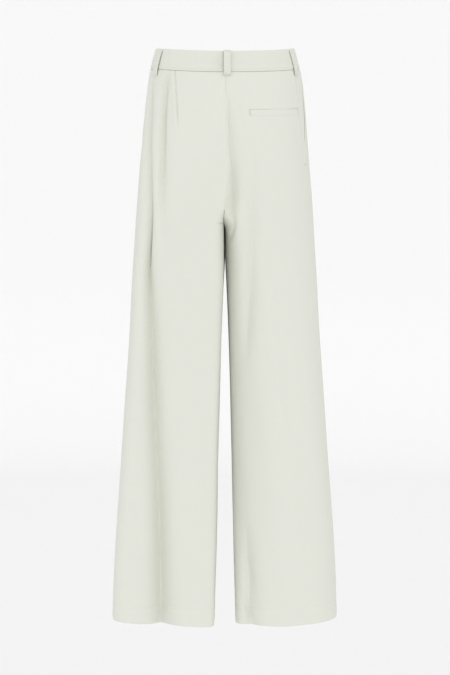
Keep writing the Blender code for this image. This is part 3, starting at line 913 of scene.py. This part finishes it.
def toned_finish(name, colour, size, depth, base):
    """A finish whose colour is a little uneven, with its tree, its shader and its coordinates."""
    finish, tree, shader = new_finish(name)
    place = add_node(tree, "ShaderNodeTexCoord").outputs["Object"]
    tone = group_node(tree, "uneven tone", place)
    tone.inputs["Size"].default_value = size
    value = scaled(tree, tone.outputs["Tone"], depth, base)
    fill(tree, shader, {"Base Color": tinted(tree, colour, value)})
    return finish, tree, shader, place


def thread_finish(name, colour):
    """Sewing thread: twisted plies in its bump and a little more gloss than the cloth."""
    finish, tree, shader, place = toned_finish(name, colour, size=0.004, depth=0.16, base=0.92)
    twist = noise(tree, place, 2500.0, 1.0)
    bump = add_node(tree, "ShaderNodeBump", {"Height": twist, "Distance": 0.0001})
    fill(tree, shader, {"Normal": bump.outputs["Normal"], "Roughness": 0.6, "Sheen Weight": 0.2})
    return finish


def button_finish(name, colour):
    """Satin button: cloudy tone, fine scratches in its roughness."""
    finish, tree, shader, place = toned_finish(name, colour, size=0.005, depth=0.35, base=0.82)
    rough = scaled(tree, noise(tree, place, 1800.0, 3.0), 0.2, 0.25)
    fill(tree, shader, {"Roughness": rough, "Coat Weight": 0.15})
    return finish


def group_node(tree, name, place):
    """A node of one of the shared groups, which is made the first time that it is asked for."""
    makers = {"plain weave": plain_weave_group, "slubs": slub_group, "uneven tone": mottle_group}
    group = bpy.data.node_groups.get(name) or makers[name]()
    return add_node(tree, "ShaderNodeGroup", {"Vector": place}, node_tree=group)


def finish_for(name):
    """A finish by name, which is made the first time that it is asked for."""
    if name in bpy.data.materials:
        return bpy.data.materials[name]
    cloth = bpy.context.scene.trousers_cloth
    sewing = bpy.context.scene.trousers_sewing
    if name == "thread":
        return thread_finish(name, sewing.thread_colour)
    if name == "button":
        return button_finish(name, sewing.button_colour)
    return cloth_finish(name, cloth.band_colour if name == "band_cloth" else cloth.colour, cloth)


# ---------------------------------------------------------------- panels


def panel_rows():
    """Drops of the panels' rows, closer together at the back pocket, the hem's stitches and its fold."""
    edges = np.array([
        [BAND_HEIGHT + SEAM_GAP], [BAND_HEIGHT + 0.004], [WELT_DROP - 0.0025], [WELT_DROP + 0.0025],
        [CROTCH_DROP - BEND], [CROTCH_DROP], [CROTCH_DROP + 0.1], [HEM_LINE - 0.002], [HEM_LINE + 0.002],
        [SIDE_LENGTH - 0.0014], [SIDE_LENGTH],
    ])
    rows = stations(edges, (8, 24, 12, 54, 24, 26, 110, 8, 10, 6)).ravel()
    share = (rows - CROTCH_DROP + BEND) / BEND
    bend = (share > 0) & (share < 1)
    rows[bend] = CROTCH_DROP - BEND * (1 - np.sin(share[bend] * math.pi / 2))
    return rows


def seam_lift(distance, drop, roll_depth, pressed=1.0):
    """Lift beside a seam: the edge rolls in as a bell, the pressed allowance under it stands out to
    its own width, and the cloth puckers as a sine that dies away from the seam."""
    roll = -roll_depth * hump(distance, 0, EDGE_WIDTH)
    edges = (0.0008, 0.003), (ALLOWANCE_WIDTH, ALLOWANCE_WIDTH + 0.002)
    allowance = pressed * ALLOWANCE_LIFT * plateau(distance, *edges)
    uneven = 1.3 * np.sin(2 * math.pi * drop / 0.11)
    wave = np.sin(2 * math.pi * drop / PUCKER_LENGTH + uneven)
    return roll + allowance + PUCKER * wave * np.exp(-distance / PUCKER_REACH)


def painted_shade_along_seams(arcs, *seams):
    """Painted shade along the cloth's seams: a value that darkens its colour, a bell at each."""
    return np.maximum(*(hump(arcs, seam, PAINTED_SHADE_WIDTH) for seam in seams))


def edge_lift(drop):
    """Lift near the waist seam and the hem: a roll under the band, a line where the hem is sewn, the
    doubled cloth below it, and a quarter circle at the fold of the hem."""
    top = -SOFT_ROLL * hump(drop, BAND_HEIGHT + SEAM_GAP, EDGE_WIDTH)
    line = -SOFT_ROLL * hump(drop, HEM_LINE, 0.0009)
    doubled = 0.00025 * ramp(drop, HEM_LINE, HEM_LINE + 0.002)
    turn = np.clip((drop - (SIDE_LENGTH - CLOTH)) / CLOTH, 0.0, 1.0)
    return top + line + doubled - CLOTH * (1 - np.sqrt(1 - turn**2))


def dart_distance(drop):
    """How far from the middle the back dart is."""
    return DART_TOP + (DART_END - DART_TOP) * np.clip((drop - BAND_HEIGHT) / DART_LENGTH, 0.0, 1.0)


def dart_lift(arcs, dart, drop):
    """The dart: a narrow line that fades at its point with a low ridge beside it, and a soft
    fullness round the point."""
    point = BAND_HEIGHT + DART_LENGTH
    fade = 1 - ramp(drop, point - 0.035, point)
    full = hump(arcs, dart, 0.020) * hump(drop, point, 0.035)
    beside = DART_RIDGE * hump(arcs, dart + 0.0050, 0.0045) * fade
    return beside - DART_DEPTH * hump(arcs, dart, 0.0016) * fade + DART_FULLNESS * full


def mouth_lift(x, drop):
    """The mouth of the back pocket: a slit between its two ends, open furthest near both, with the
    cloth above it raised."""
    inner, outer, end = WELT_INNER_X, WELT_OUTER_X, 0.001
    length = outer - inner
    between = plateau(x, (inner - end, inner + end), (outer - end, outer + end))
    near_ends = 1 - ramp(x, inner + 0.35 * length, inner + 0.5 * length)
    near_ends = near_ends + ramp(x, outer - 0.25 * length, outer - 0.1 * length)
    slit = -(SLIT_DEPTH + SLIT_OPENING * near_ends) * hump(drop, WELT_DROP, SLIT_WIDTH)
    above = MOUTH_RISE * hump(drop, WELT_DROP - 0.0045, 0.0025)
    return (slit + above) * between


def back_panel(side):
    """A back panel, from the middle seam or inseam to the side seam."""
    half = Half(side, panel_rows())
    start, end = half.start, half.side_seam
    dart = half.arc_at(dart_distance(half.drop), BACK)
    corner = half.arc_at(np.maximum(half.gap, MIDDLE_GAP) + INNER_CORNER, BACK)
    beside_dart = dart - DART_STRIP, dart + DART_STRIP
    edges = (start, start + SEAM_STRIP, corner, *beside_dart, end - SEAM_STRIP, end)
    arcs = stations(edges, (7, 44, 34, 12, 62, 7))
    above_crotch = 1 - ramp(half.drop, 0.19, 0.26)
    lift = seam_lift(arcs - start, half.drop, SOFT_ROLL, above_crotch)
    lift = lift + seam_lift(end - arcs, half.drop, SOFT_ROLL) + edge_lift(half.drop)
    if side == LEFT:
        lift = lift + dart_lift(arcs, dart, half.drop)
    else:
        lift = lift + mouth_lift(read_rows(arcs, half.arc, half.x), half.drop)
    return half.place(arcs, lift), painted_shade_along_seams(arcs, start, end)


def front_panel(side):
    """A front panel, from the side seam to the middle seam or inseam, set back behind the slanted
    mouth of the side pocket."""
    half = Half(side, panel_rows())
    start, end = half.side_seam, half.end
    down = np.clip((half.drop - BAND_HEIGHT) / (POCKET_END - BAND_HEIGHT), 0.0, 1.0)
    mouth = start + POCKET_INSET + 0.002 + POCKET_SLANT * (1 - down)
    crease = half.arc_at(0.45 * half.half_width, FRONT)
    edges = (start, mouth - 0.0014, mouth + 0.0014, crease, end - SEAM_STRIP, end)
    arcs = stations(edges, (16, 7, 46, 34, 7))
    top, bottom = (BAND_HEIGHT + 0.002, BAND_HEIGHT + 0.010), (POCKET_END - 0.012, POCKET_END)
    open_part = (arcs < mouth) * plateau(half.drop, top, bottom)
    recess = -POCKET_RECESS[side] * ramp(arcs, start, mouth) * open_part
    lift = seam_lift(arcs - start, half.drop, SOFT_ROLL) + seam_lift(end - arcs, half.drop, EDGE_ROLL)
    lift = lift + edge_lift(half.drop) + recess
    return half.place(arcs, lift), painted_shade_along_seams(arcs, start, end)


def make_panels(face):
    """Both panels of the back or of the front."""
    build, grain = (back_panel, -1) if face == BACK else (front_panel, 0)
    for side in (LEFT, RIGHT):
        name = f"{face}_{WORDS[side]}"
        # seam is the painted shade along the panel's seams
        points, seam = build(side)
        cloth_piece(f"{name}_panel", name, points, thickness=CLOTH, outwards=False, held="hung",
                    flip=side == RIGHT, seam=seam, grain=grain)


def make_hems():
    """The turned-up cloth inside each leg: a flat loop, carried round the whole leg.

    Its outer side runs up just inside the panels, turns over at the top edge, comes down again and
    meets the panels' own fold at the bottom with a quarter circle.
    """
    outer = -(CLOTH + SEAM_GAP)
    inner = outer - TRIM_CLOTH
    low, high = SIDE_LENGTH - 0.0002, SIDE_LENGTH - HEM_DEPTH
    angles = np.linspace(0, math.pi / 2, 6)
    up = np.linspace(low, high, 14)
    fold_drop = low - CLOTH * (1 - np.sin(angles))
    fold_lift = inner + CLOTH * (1 - np.cos(angles))
    drops = np.concatenate([up, np.linspace(high, fold_drop[0], 13), fold_drop[1:]])
    lifts = np.concatenate([np.full(14, outer), np.full(13, inner), fold_lift[1:]])[:, None]
    for side in (LEFT, RIGHT):
        half = Half(side, drops)
        arcs = stations((half.start, half.side_seam, half.end - 0.002), (90, 90))
        points = half.place(arcs, lifts)
        name = f"hem_{WORDS[side]}"
        cloth_piece(f"{name}_fold", name, points, cut=cut_size(points[:len(up)]),
                    rests_on=[f"back_{WORDS[side]}_panel"], flip=side == LEFT,
                    wrap_rows=True, wrap_columns=True)


# ---------------------------------------------------------------- waistband and loops


def band_profile():
    """Drops and lifts round the waistband's own edge: up the outside, over the top, down the inside
    and round the bottom, with a low ridge on the outside where the seam allowance ends."""
    radius = BAND_CLOTH / 2
    middle = BAND_PROUD - radius
    bottom = BAND_HEIGHT - SEAM_GAP - radius
    up = np.linspace(bottom, radius, 30)
    ridge = BAND_RIDGE * hump(up, BAND_HEIGHT - 0.0062, 0.0013)
    ridge = ridge - SOFT_ROLL * hump(up, BAND_HEIGHT - 0.0015, 0.0012)
    crown = 0.0003 * np.sin(math.pi * (up - radius) / (bottom - radius))
    over = np.linspace(0, math.pi, 10)[1:-1]
    down = np.linspace(radius, bottom, 12)
    under = over + math.pi
    drops = [up, radius - radius * np.sin(over), down, bottom - radius * np.sin(under)]
    lifts = [radius + ridge + crown, radius * np.cos(over), 0 * down - radius, radius * np.cos(under)]
    return np.concatenate(drops), middle + np.concatenate(lifts)[:, None]


def band_wave(arcs):
    """How the back of the waistband waves in and out: the sum of two sines."""
    long_wave = 0.00025 * np.sin(2 * math.pi * arcs / 0.061)
    return long_wave + 0.0002 * np.sin(2 * math.pi * arcs / 0.027 + 1.0)


def make_waistband():
    """One piece round the back and two fronts, the right one lapping over the left."""
    drops, lifts = band_profile()
    left, right = Half(LEFT, drops), Half(RIGHT, drops)

    seam = left.start + BAND_SEAM
    edges = (left.start, seam - 0.0016, seam + 0.0016, left.side_seam - SEAM_GAP / 2)
    arcs = stations(edges, (3, 12, 84))
    groove = -GROOVE_DEPTH * hump(arcs, seam, 0.0007) * (lifts > 0)
    left_back = left.place(arcs, lifts + band_wave(-arcs) + groove)[:, ::-1]
    arcs = stations((right.start, right.side_seam - SEAM_GAP / 2), (90,))
    right_back = right.place(arcs, lifts + band_wave(arcs))
    back = np.concatenate([left_back[:, :-1], right_back[:, 1:]], axis=1)

    front_left = left.place(stations((left.side_seam + SEAM_GAP / 2, left.end), (90,)), lifts)

    arcs = stations((right.side_seam + SEAM_GAP / 2, right.end - TAB_STEP, right.end), (80, 14))
    over = BAND_CLOTH + LAP_GAP
    step = over * ramp(arcs, right.end - TAB_STEP, right.end - 0.002)
    lap = stations((left.end - 0.004, left.end - TAB_LENGTH), (16,))
    front_right = [right.place(arcs, lifts + step), left.place(lap, lifts + over)]

    for name, points in (
        ("waistband_back", back),
        ("waistband_front_left", front_left),
        ("waistband_front_right", np.concatenate(front_right, axis=1)),
    ):
        cloth_piece(f"{name}_shell", name, points, slot="band_cloth", cut=cut_size(points[:31]),
                    flip=name == "waistband_front_left", wrap_rows=True)


def loop_edges(loop, t):
    """The two long edges of a belt loop, and its outward normal, from top to bottom.

    The loop bows out by 1 less the fourth power of the distance from its middle. The loop at the
    middle of the back lies over both halves, and its left edge stands out further.
    """
    drops = loop.top + (loop.bottom - loop.top) * t
    half = Half(loop.side, drops)
    bowed = (1 - (2 * t - 1) ** 4)[:, None]
    lift = LOOP_LIFT + loop.bow * bowed
    across = np.array([-0.5, 0.5]) * LOOP_WIDTH
    if loop.share_of_half_width:
        middle = half.arc_at(loop.share_of_half_width * half.half_width, loop.face)
        pair = half.place(middle + across, lift)
        return pair[:, 0], pair[:, 1], half.surface(middle, lift)[1][:, 0]
    first = Half(LEFT, drops).place(across[1:], lift + LOOP_TILT * bowed)[:, 0] + LOOP_SHIFT
    last = half.place(across[1:], lift)[:, 0] + LOOP_SHIFT
    return first, last, unit(np.cross(np.gradient((first + last) / 2, axis=0), last - first))


def make_loops():
    """Belt loops: a flat tube whose section is a squared ellipse, carried from top to bottom and
    thinned at both ends where it is turned in."""
    t = np.linspace(0, 1, 44)
    angles = np.arange(24) * 2 * math.pi / 24
    ends = np.sqrt(np.clip(1 - np.abs(2 * t - 1) ** 30, 0.02, 1))[:, None]
    for loop in LOOPS:
        first, last, outwards = loop_edges(loop, t)
        middle = (first + last)[:, None] / 2
        across = (last - first)[:, None] / 2 * power(np.cos(angles), 6)[None, :, None]
        height = LOOP_CLOTH / 2 * (1 + ends * power(np.sin(angles), 3)[None])
        edge_rows = 0.00018 * hump(np.abs(np.cos(angles)), 0.80, 0.16) * np.sin(angles)
        points = middle + across + outwards[:, None] * (height + edge_rows)[..., None]
        length = float(np.linalg.norm(np.diff(middle[:, 0], axis=0), axis=1).sum())
        below = "waistband_back" if loop.face == BACK else f"waistband_front_{WORDS[loop.side]}"
        cloth_piece(f"{loop.name}_strip", loop.name, points, slot="band_cloth",
                    cut=((LOOP_WIDTH, length), LOOP_WIDTH * length), rests_on=[f"{below}_shell"],
                    flip=loop.side == LEFT, wrap_columns=True)


# ---------------------------------------------------------------- pockets, fly and fastening


def soft_edges(fraction_down, fraction_across, depth):
    """Lift that brings the edges of a sewn-on strip down to the cloth, as a power of the distance."""
    down = np.abs(2 * fraction_down - 1) ** 8
    across = np.abs(2 * fraction_across - 1) ** 14
    return -depth * np.maximum(down, across)


def make_welt():
    """The folded strip under the mouth of the back pocket, on the right only."""
    t = np.linspace(0, 1, 14)
    half = Half(RIGHT, WELT_DROP + WELT_HEIGHT * t)
    arcs = stations([half.arc_at_x(x) for x in (WELT_INNER_X, WELT_OUTER_X)], (60,))
    share = np.linspace(0, 1, 61)[None, :]
    lift = TRIM_LIFT - 0.0004 + soft_edges(t[:, None], share, 0.0006)
    cloth_piece("welt_back_right_strip", "welt_back_right", half.place(arcs, lift),
                thickness=TRIM_CLOTH, rests_on=["back_right_panel"], flip=True)


def pocket_half(side, t):
    """Half of the trousers at the side pocket's mouth, and the mouth's arcs, at shares of its
    length from the waist seam to the side seam."""
    half = Half(side, BAND_HEIGHT + BAND_CLEARANCE + (POCKET_END - BAND_HEIGHT) * t)
    return half, half.side_seam + POCKET_INSET + POCKET_SLANT * (1 - t[:, None])


def make_pocket_edges():
    """The turned edge of each side pocket, slanting from the waist seam back to the side seam."""
    t = np.linspace(0, 1, 70)
    share = np.linspace(0, 1, 12)[None, :]
    for side in (LEFT, RIGHT):
        half, start = pocket_half(side, t)
        arcs = stations((start, start + POCKET_EDGE), (11,))
        gape = 0.0008 * np.sin(math.pi * t[:, None]) ** 2 * (1 - share) ** 2
        lift = TRIM_LIFT + soft_edges(np.full_like(half.drop, 0.5), share, 0.0006) + gape
        name = f"pocket_edge_{WORDS[side]}"
        cloth_piece(f"{name}_strip", name, half.place(arcs, lift), thickness=TRIM_CLOTH,
                    rests_on=[f"front_{WORDS[side]}_panel"], flip=side == RIGHT)


def fly_outline(count):
    """Drops and widths of the fly, straight down and then round a quarter ellipse to its tip."""
    straight = np.linspace(0, FLY_LENGTH - FLY_ROUND, count)
    angles = np.linspace(0, math.pi / 2, count)[1:]
    drops = np.concatenate([straight, FLY_LENGTH - FLY_ROUND * (1 - np.sin(angles))])
    curve = FLY_TIP + (FLY_WIDTH - FLY_TIP) * np.cos(angles)
    widths = np.concatenate([np.full(count, FLY_WIDTH), curve])
    return BAND_HEIGHT + BAND_CLEARANCE + drops, widths[:, None]


def make_fly():
    """The flap over the front fastening."""
    drops, widths = fly_outline(26)
    half = Half(RIGHT, drops)
    end = half.end - SEAM_GAP
    share = np.linspace(0, 1, 19)[None, :]
    lift = TRIM_LIFT - 0.0006 * np.abs(2 * share - 1) ** 12
    points = half.place(stations((end - widths, end), (18,)), lift)
    cloth_piece("fly_flap", "fly", points, thickness=TRIM_CLOTH, rests_on=["front_right_panel"],
                flip=True)


def button_frame():
    """The middle of the waist button, and its directions outwards, along the band and down."""
    proud = BAND_PROUD + BAND_CLOTH + LAP_GAP
    steps = np.array([-1.0, 0.0, 1.0]) * BUTTON_RADIUS
    half = Half(LEFT, BAND_HEIGHT / 2 + steps)
    points = half.place(half.end - TAB_LENGTH / 2 + steps, proud)
    along = points[1, 2] - points[1, 0]
    outwards = unit(np.cross(along, points[2, 1] - points[0, 1]))
    along = unit(along)
    centre = points[1, 1] + outwards * (BUTTON_THICKNESS / 2 + BUTTON_STAND)
    return centre, outwards, along, np.cross(outwards, along)


def finish_button():
    """The button's own finish, the thread through its holes and the stitched buttonhole behind it."""
    node = frame["nodes"]["waist_button"]
    node.data.materials.clear()
    node.data.materials.append(finish_for("button"))
    centre, outwards, along, down = button_frame()
    holes = np.array([-1, -1, 1, 1]) * BUTTON_HOLE_SPREAD + np.array([-1, 1, -1, 1]) * 0.00022
    level = centre + outwards * (BUTTON_THICKNESS / 2 * 0.55 + 0.0002)
    run = level + holes[:, None] * down, np.tile(along, (4, 1)), np.tile(outwards, (4, 1))
    threads("button_thread", [run], 2 * BUTTON_HOLE_SPREAD + 0.0018, thickness=1.2, rings=9)

    slit = np.linspace(-0.0095, 0.0095, 44)
    band = centre - outwards * (BUTTON_THICKNESS / 2 + BUTTON_STAND - 0.0001)
    normals, directions = (np.tile(vector, (len(slit), 1)) for vector in (outwards, down))
    runs = [
        (band + slit[:, None] * along + offset * down, directions, normals)
        for offset in (-0.0013, 0.0013)
    ]
    threads("buttonhole_stitches", runs, 0.0024)


# ---------------------------------------------------------------- sewing


def bar_tack(half, arcs, lift):
    """Stitches close together down a column of places, each lying along its row."""
    here, outwards = half.surface(arcs, lift)
    there = half.place(arcs + NORMAL_STEP, lift)
    return here[:, 0], (there - here)[:, 0], outwards[:, 0]


def sew_pockets():
    """Rows of stitches beside the side pockets' mouths, and a bar tack at each end of every pocket."""
    lift = TRIM_LIFT + TRIM_CLOTH
    tacks = []
    for side in (LEFT, RIGHT):
        half, mouth = pocket_half(side, np.linspace(0.01, 0.99, 120))
        path, outwards = half.surface(mouth + 0.0065, lift)
        sew_row(f"pocket_stitches_{WORDS[side]}", path, outwards)
        for share in (0.03, 0.97):
            half, mouth = pocket_half(side, share + np.linspace(-0.015, 0.015, 16))
            tacks.append(bar_tack(half, mouth + 0.0045, lift))
    for x in (WELT_INNER_X + 0.0008, WELT_OUTER_X - 0.0008):
        half = Half(RIGHT, np.linspace(WELT_DROP + 0.0008, WELT_DROP + WELT_HEIGHT - 0.0008, 26))
        tacks.append(bar_tack(half, half.arc_at_x(x), lift - 0.0003))
    threads("pocket_tacks", tacks, 0.0020)


def sew_fly():
    """The curved row of stitches down the fly."""
    drops, widths = fly_outline(60)
    inset = 0.004
    keep = widths[:, 0] > inset + FLY_TIP
    half = Half(RIGHT, drops[keep])
    arcs = half.end - SEAM_GAP - widths[keep] + inset
    sew_row("fly_stitches", *half.surface(arcs, TRIM_LIFT + TRIM_CLOTH))


def sew_loops():
    """Two rows of stitches down each belt loop and a bar tack at each of its ends."""
    t = np.linspace(0.03, 0.97, 60)
    spots = np.linspace(0.12, 0.88, 22)[:, None]
    runs = []
    tacks = []
    for loop in LOOPS:
        first, last, outwards = loop_edges(loop, t)
        surface = outwards * (LOOP_CLOTH + 0.0001)
        for share in (0.19, 0.81):
            runs.append(run_of_stitches(first + (last - first) * share + surface, outwards))
        for end in (2, len(t) - 3):
            centres = first[end] + (last[end] - first[end]) * spots + surface[end]
            directions = first[end + 1] - first[end - 1], outwards[end]
            tacks.append((centres, *(np.tile(vector, (len(spots), 1)) for vector in directions)))
    threads("loop_stitches", runs, bpy.context.scene.trousers_sewing.stitch_length, thickness=0.9)
    threads("loop_tacks", tacks, 0.0018)


def sew_hems():
    """Small pricks where the turned-up hem is caught to the panels, all round each leg."""
    runs = []
    for side in (LEFT, RIGHT):
        half = Half(side, np.full(90, HEM_LINE))
        share = np.linspace(0.004, 0.996, 90)[:, None]
        points, normals = half.surface(half.start + (half.end - half.start) * share)
        points, normals = points[:, 0], normals[:, 0]
        runs.append((points - normals * 0.00025, np.gradient(points, axis=0), normals))
    threads("hem_stitches", runs, 0.0014, thickness=0.8)


# ---------------------------------------------------------------- studio


def plain_finish(name, colour):
    """A plain matt backdrop."""
    finish, tree, shader = new_finish(name)
    fill(tree, shader, {
        "Base Color": (*colour, 1.0), "Roughness": 0.95, "Specular IOR Level": 0.0,
    })
    return finish


def make_floor(studio):
    """The floor and the wall behind as one sweep: flat, then a quarter circle, then straight up."""
    low = -(SIDE_LENGTH - BAND_HEIGHT) - studio.floor_below
    angles = np.linspace(0, math.pi / 2, 24)
    y = [[-FLOOR_REACH], WALL_PLACE + WALL_ROUND * np.sin(angles), [WALL_PLACE + WALL_ROUND]]
    z = [[low], low + WALL_ROUND * (1 - np.cos(angles)), [low + FLOOR_REACH]]
    y, z = np.concatenate(y)[:, None], np.concatenate(z)[:, None]
    x = np.array([[-FLOOR_REACH, FLOOR_REACH]])
    points = np.stack(np.broadcast_arrays(x, y, z), axis=-1)
    grid_piece("floor", points, plain_finish("floor", studio.floor_colour))


def make_light(name, place, strength, softness):
    """A distant soft light that shines from a place towards the trousers."""
    data = bpy.data.lights.new(name, "SUN")
    data.energy = strength
    data.angle = softness
    light = bpy.data.objects.new(name, data)
    light.location = place
    towards = Vector(LIT_PLACE) - Vector(place)
    light.rotation_euler = towards.to_track_quat("-Z", "Y").to_euler()
    bpy.context.scene.collection.objects.link(light)


def make_studio(context):
    """Floor, light from all round, soft lights from the front, both sides and above, and the camera."""
    studio = context.scene.trousers_studio
    make_floor(studio)
    world = bpy.data.worlds.new("studio")
    world.use_nodes = True
    background = world.node_tree.nodes["Background"]
    background.inputs["Color"].default_value = (1.0, 1.0, 1.0, 1.0)
    background.inputs["Strength"].default_value = studio.surround
    context.scene.world = world
    for name, place in LIGHT_PLACES.items():
        make_light(f"{name}_light", place, getattr(studio, name), studio.softness)

    data = bpy.data.cameras.new("camera")
    data.lens = CAMERA_LENS
    data.sensor_width = CAMERA_SENSOR
    camera = bpy.data.objects.new("camera", data)
    camera.location = CAMERA_PLACE
    camera.rotation_euler = (math.pi / 2 - CAMERA_DOWN, 0.0, 0.0)
    context.scene.collection.objects.link(camera)
    context.scene.camera = camera
    context.scene.view_settings.view_transform = "Standard"
    context.scene.view_settings.look = "None"


# ---------------------------------------------------------------- settings, operators and panel


class TrousersClothSettings(bpy.types.PropertyGroup):
    """How the cloth is woven and finished."""

    colour: FloatVectorProperty(
        name="Cloth", description="Colour of the panels", subtype="COLOR", size=3, min=0, max=1,
        default=(0.740, 0.7445, 0.692))
    band_colour: FloatVectorProperty(
        name="Waistband", description="Colour of the waistband and loops",
        subtype="COLOR", size=3, min=0, max=1, default=(0.722, 0.729, 0.683))
    thread_spacing: FloatProperty(
        name="Thread spacing", description="From one thread to the next",
        unit="LENGTH", default=0.0006, precision=5)
    weave_depth: FloatProperty(
        name="Weave depth", description="Height of the threads and slubs",
        unit="LENGTH", default=0.00025, precision=5)
    slub_strength: FloatProperty(
        name="Slubs", description="How much the slubs change the tone",
        subtype="FACTOR", min=0, max=1, default=0.16)
    tone_strength: FloatProperty(
        name="Uneven tone", description="How much the tone varies",
        subtype="FACTOR", min=0, max=1, default=0.05)
    # Painted shade: how much darker the colour is drawn along a seam
    painted_seam_darkness: FloatProperty(
        name="Seam shade", description="How much darker the cloth is in a seam",
        subtype="FACTOR", min=0, max=1, default=0.10)
    roughness: FloatProperty(
        name="Roughness", description="Roughness of the cloth",
        subtype="FACTOR", min=0, max=1, default=0.85)
    sheen: FloatProperty(
        name="Sheen", description="Soft sheen of the fibres",
        subtype="FACTOR", min=0, max=1, default=0.10)


class TrousersSewingSettings(bpy.types.PropertyGroup):
    """Thread and button."""

    thread_colour: FloatVectorProperty(
        name="Thread", description="Colour of the thread", subtype="COLOR", size=3, min=0, max=1,
        default=(0.72, 0.73, 0.66))
    button_colour: FloatVectorProperty(
        name="Button", description="Colour of the button", subtype="COLOR", size=3, min=0, max=1,
        default=SLOT_COLOURS["button"])
    thread_radius: FloatProperty(
        name="Thread radius", description="Radius of the thread",
        unit="LENGTH", default=0.0002, precision=5)
    stitch_length: FloatProperty(
        name="Stitch length", description="Length of a stitch",
        unit="LENGTH", default=0.0022, precision=5)
    stitch_pitch: FloatProperty(
        name="Stitch pitch", description="From one stitch to the next",
        unit="LENGTH", default=0.0027, precision=5)


class TrousersStudioSettings(bpy.types.PropertyGroup):
    """Floor and light."""

    floor_colour: FloatVectorProperty(
        name="Floor", description="Colour of the floor", subtype="COLOR", size=3, min=0, max=1,
        default=(0.9, 0.9, 0.9))
    floor_below: FloatProperty(
        name="Floor below", description="How far the floor is below the hem",
        unit="LENGTH", default=0.75)
    surround: FloatProperty(
        name="Surround", description="Strength of the light from all round", min=0, default=0.76)
    front: FloatProperty(
        name="Front", description="Strength of the light from the front", min=0, default=0.58)
    left: FloatProperty(
        name="Left", description="Strength of the light from the left", min=0, default=0.27)
    right: FloatProperty(
        name="Right", description="Strength of the light from the right", min=0, default=0.21)
    above: FloatProperty(
        name="Above", description="Strength of the light from above", min=0, default=0.33)
    softness: FloatProperty(
        name="Softness", description="Angle that each of these lights fills",
        unit="ROTATION", min=0,
        default=math.radians(50))


class TROUSERS_OT_waistband(bpy.types.Operator):
    """Make the waistband's three pieces"""

    bl_idname = "trousers.waistband"
    bl_label = "Waistband"

    def execute(self, context):
        make_waistband()
        return {"FINISHED"}


class TROUSERS_OT_back_panels(bpy.types.Operator):
    """Make both back panels with the dart and the mouth of the back pocket"""

    bl_idname = "trousers.back_panels"
    bl_label = "Back panels"

    def execute(self, context):
        make_panels(BACK)
        return {"FINISHED"}


class TROUSERS_OT_front_panels(bpy.types.Operator):
    """Make both front panels, set back behind the side pockets' mouths"""

    bl_idname = "trousers.front_panels"
    bl_label = "Front panels"

    def execute(self, context):
        make_panels(FRONT)
        return {"FINISHED"}


class TROUSERS_OT_hems(bpy.types.Operator):
    """Make the turned-up hems and their stitches"""

    bl_idname = "trousers.hems"
    bl_label = "Hems"

    def execute(self, context):
        make_hems()
        sew_hems()
        return {"FINISHED"}


class TROUSERS_OT_belt_loops(bpy.types.Operator):
    """Make the belt loops, their stitches and their bar tacks"""

    bl_idname = "trousers.belt_loops"
    bl_label = "Belt loops"

    def execute(self, context):
        make_loops()
        sew_loops()
        return {"FINISHED"}


class TROUSERS_OT_pockets(bpy.types.Operator):
    """Make the back pocket's welt, the side pockets' edges and their stitches"""

    bl_idname = "trousers.pockets"
    bl_label = "Pockets"

    def execute(self, context):
        make_welt()
        make_pocket_edges()
        sew_pockets()
        return {"FINISHED"}


class TROUSERS_OT_fly(bpy.types.Operator):
    """Make the fly and its stitches"""

    bl_idname = "trousers.fly"
    bl_label = "Fly"

    def execute(self, context):
        make_fly()
        sew_fly()
        return {"FINISHED"}


class TROUSERS_OT_button(bpy.types.Operator):
    """Finish the waist button, its thread and its buttonhole"""

    bl_idname = "trousers.button"
    bl_label = "Button"

    def execute(self, context):
        finish_button()
        return {"FINISHED"}


class TROUSERS_OT_studio(bpy.types.Operator):
    """Make the floor, the lights and the camera"""

    bl_idname = "trousers.studio"
    bl_label = "Studio"

    def execute(self, context):
        make_studio(context)
        return {"FINISHED"}


OPERATORS = (
    TROUSERS_OT_studio,
    TROUSERS_OT_waistband,
    TROUSERS_OT_back_panels,
    TROUSERS_OT_front_panels,
    TROUSERS_OT_hems,
    TROUSERS_OT_belt_loops,
    TROUSERS_OT_pockets,
    TROUSERS_OT_fly,
    TROUSERS_OT_button,
)
SETTINGS = {
    "trousers_cloth": TrousersClothSettings,
    "trousers_sewing": TrousersSewingSettings,
    "trousers_studio": TrousersStudioSettings,
}


class TROUSERS_PT_pieces(bpy.types.Panel):
    """Lists the settings and the pieces in the sidebar"""

    bl_idname = "TROUSERS_PT_pieces"
    bl_label = "Trousers"
    bl_space_type = "VIEW_3D"
    bl_region_type = "UI"
    bl_category = "Trousers"

    def draw(self, context):
        for name in SETTINGS:
            settings = getattr(context.scene, name)
            box = self.layout.box()
            for key in settings.bl_rna.properties.keys():
                if key not in ("rna_type", "name"):
                    box.prop(settings, key)
        for operator in OPERATORS:
            self.layout.operator(operator.bl_idname)


def register():
    """Add the settings, the operators and the panel to Blender."""
    for name, settings in SETTINGS.items():
        bpy.utils.register_class(settings)
        setattr(bpy.types.Scene, name, PointerProperty(type=settings))
    for operator in OPERATORS:
        bpy.utils.register_class(operator)
    bpy.utils.register_class(TROUSERS_PT_pieces)


def unregister():
    """Take them out again."""
    bpy.utils.unregister_class(TROUSERS_PT_pieces)
    for operator in reversed(OPERATORS):
        bpy.utils.unregister_class(operator)
    for name, settings in SETTINGS.items():
        delattr(bpy.types.Scene, name)
        bpy.utils.unregister_class(settings)


def main():
    """Make every piece in turn."""
    register()
    for operator in OPERATORS:
        group, name = operator.bl_idname.split(".")
        getattr(getattr(bpy.ops, group), name)()


if __name__ == "__main__":
    main()
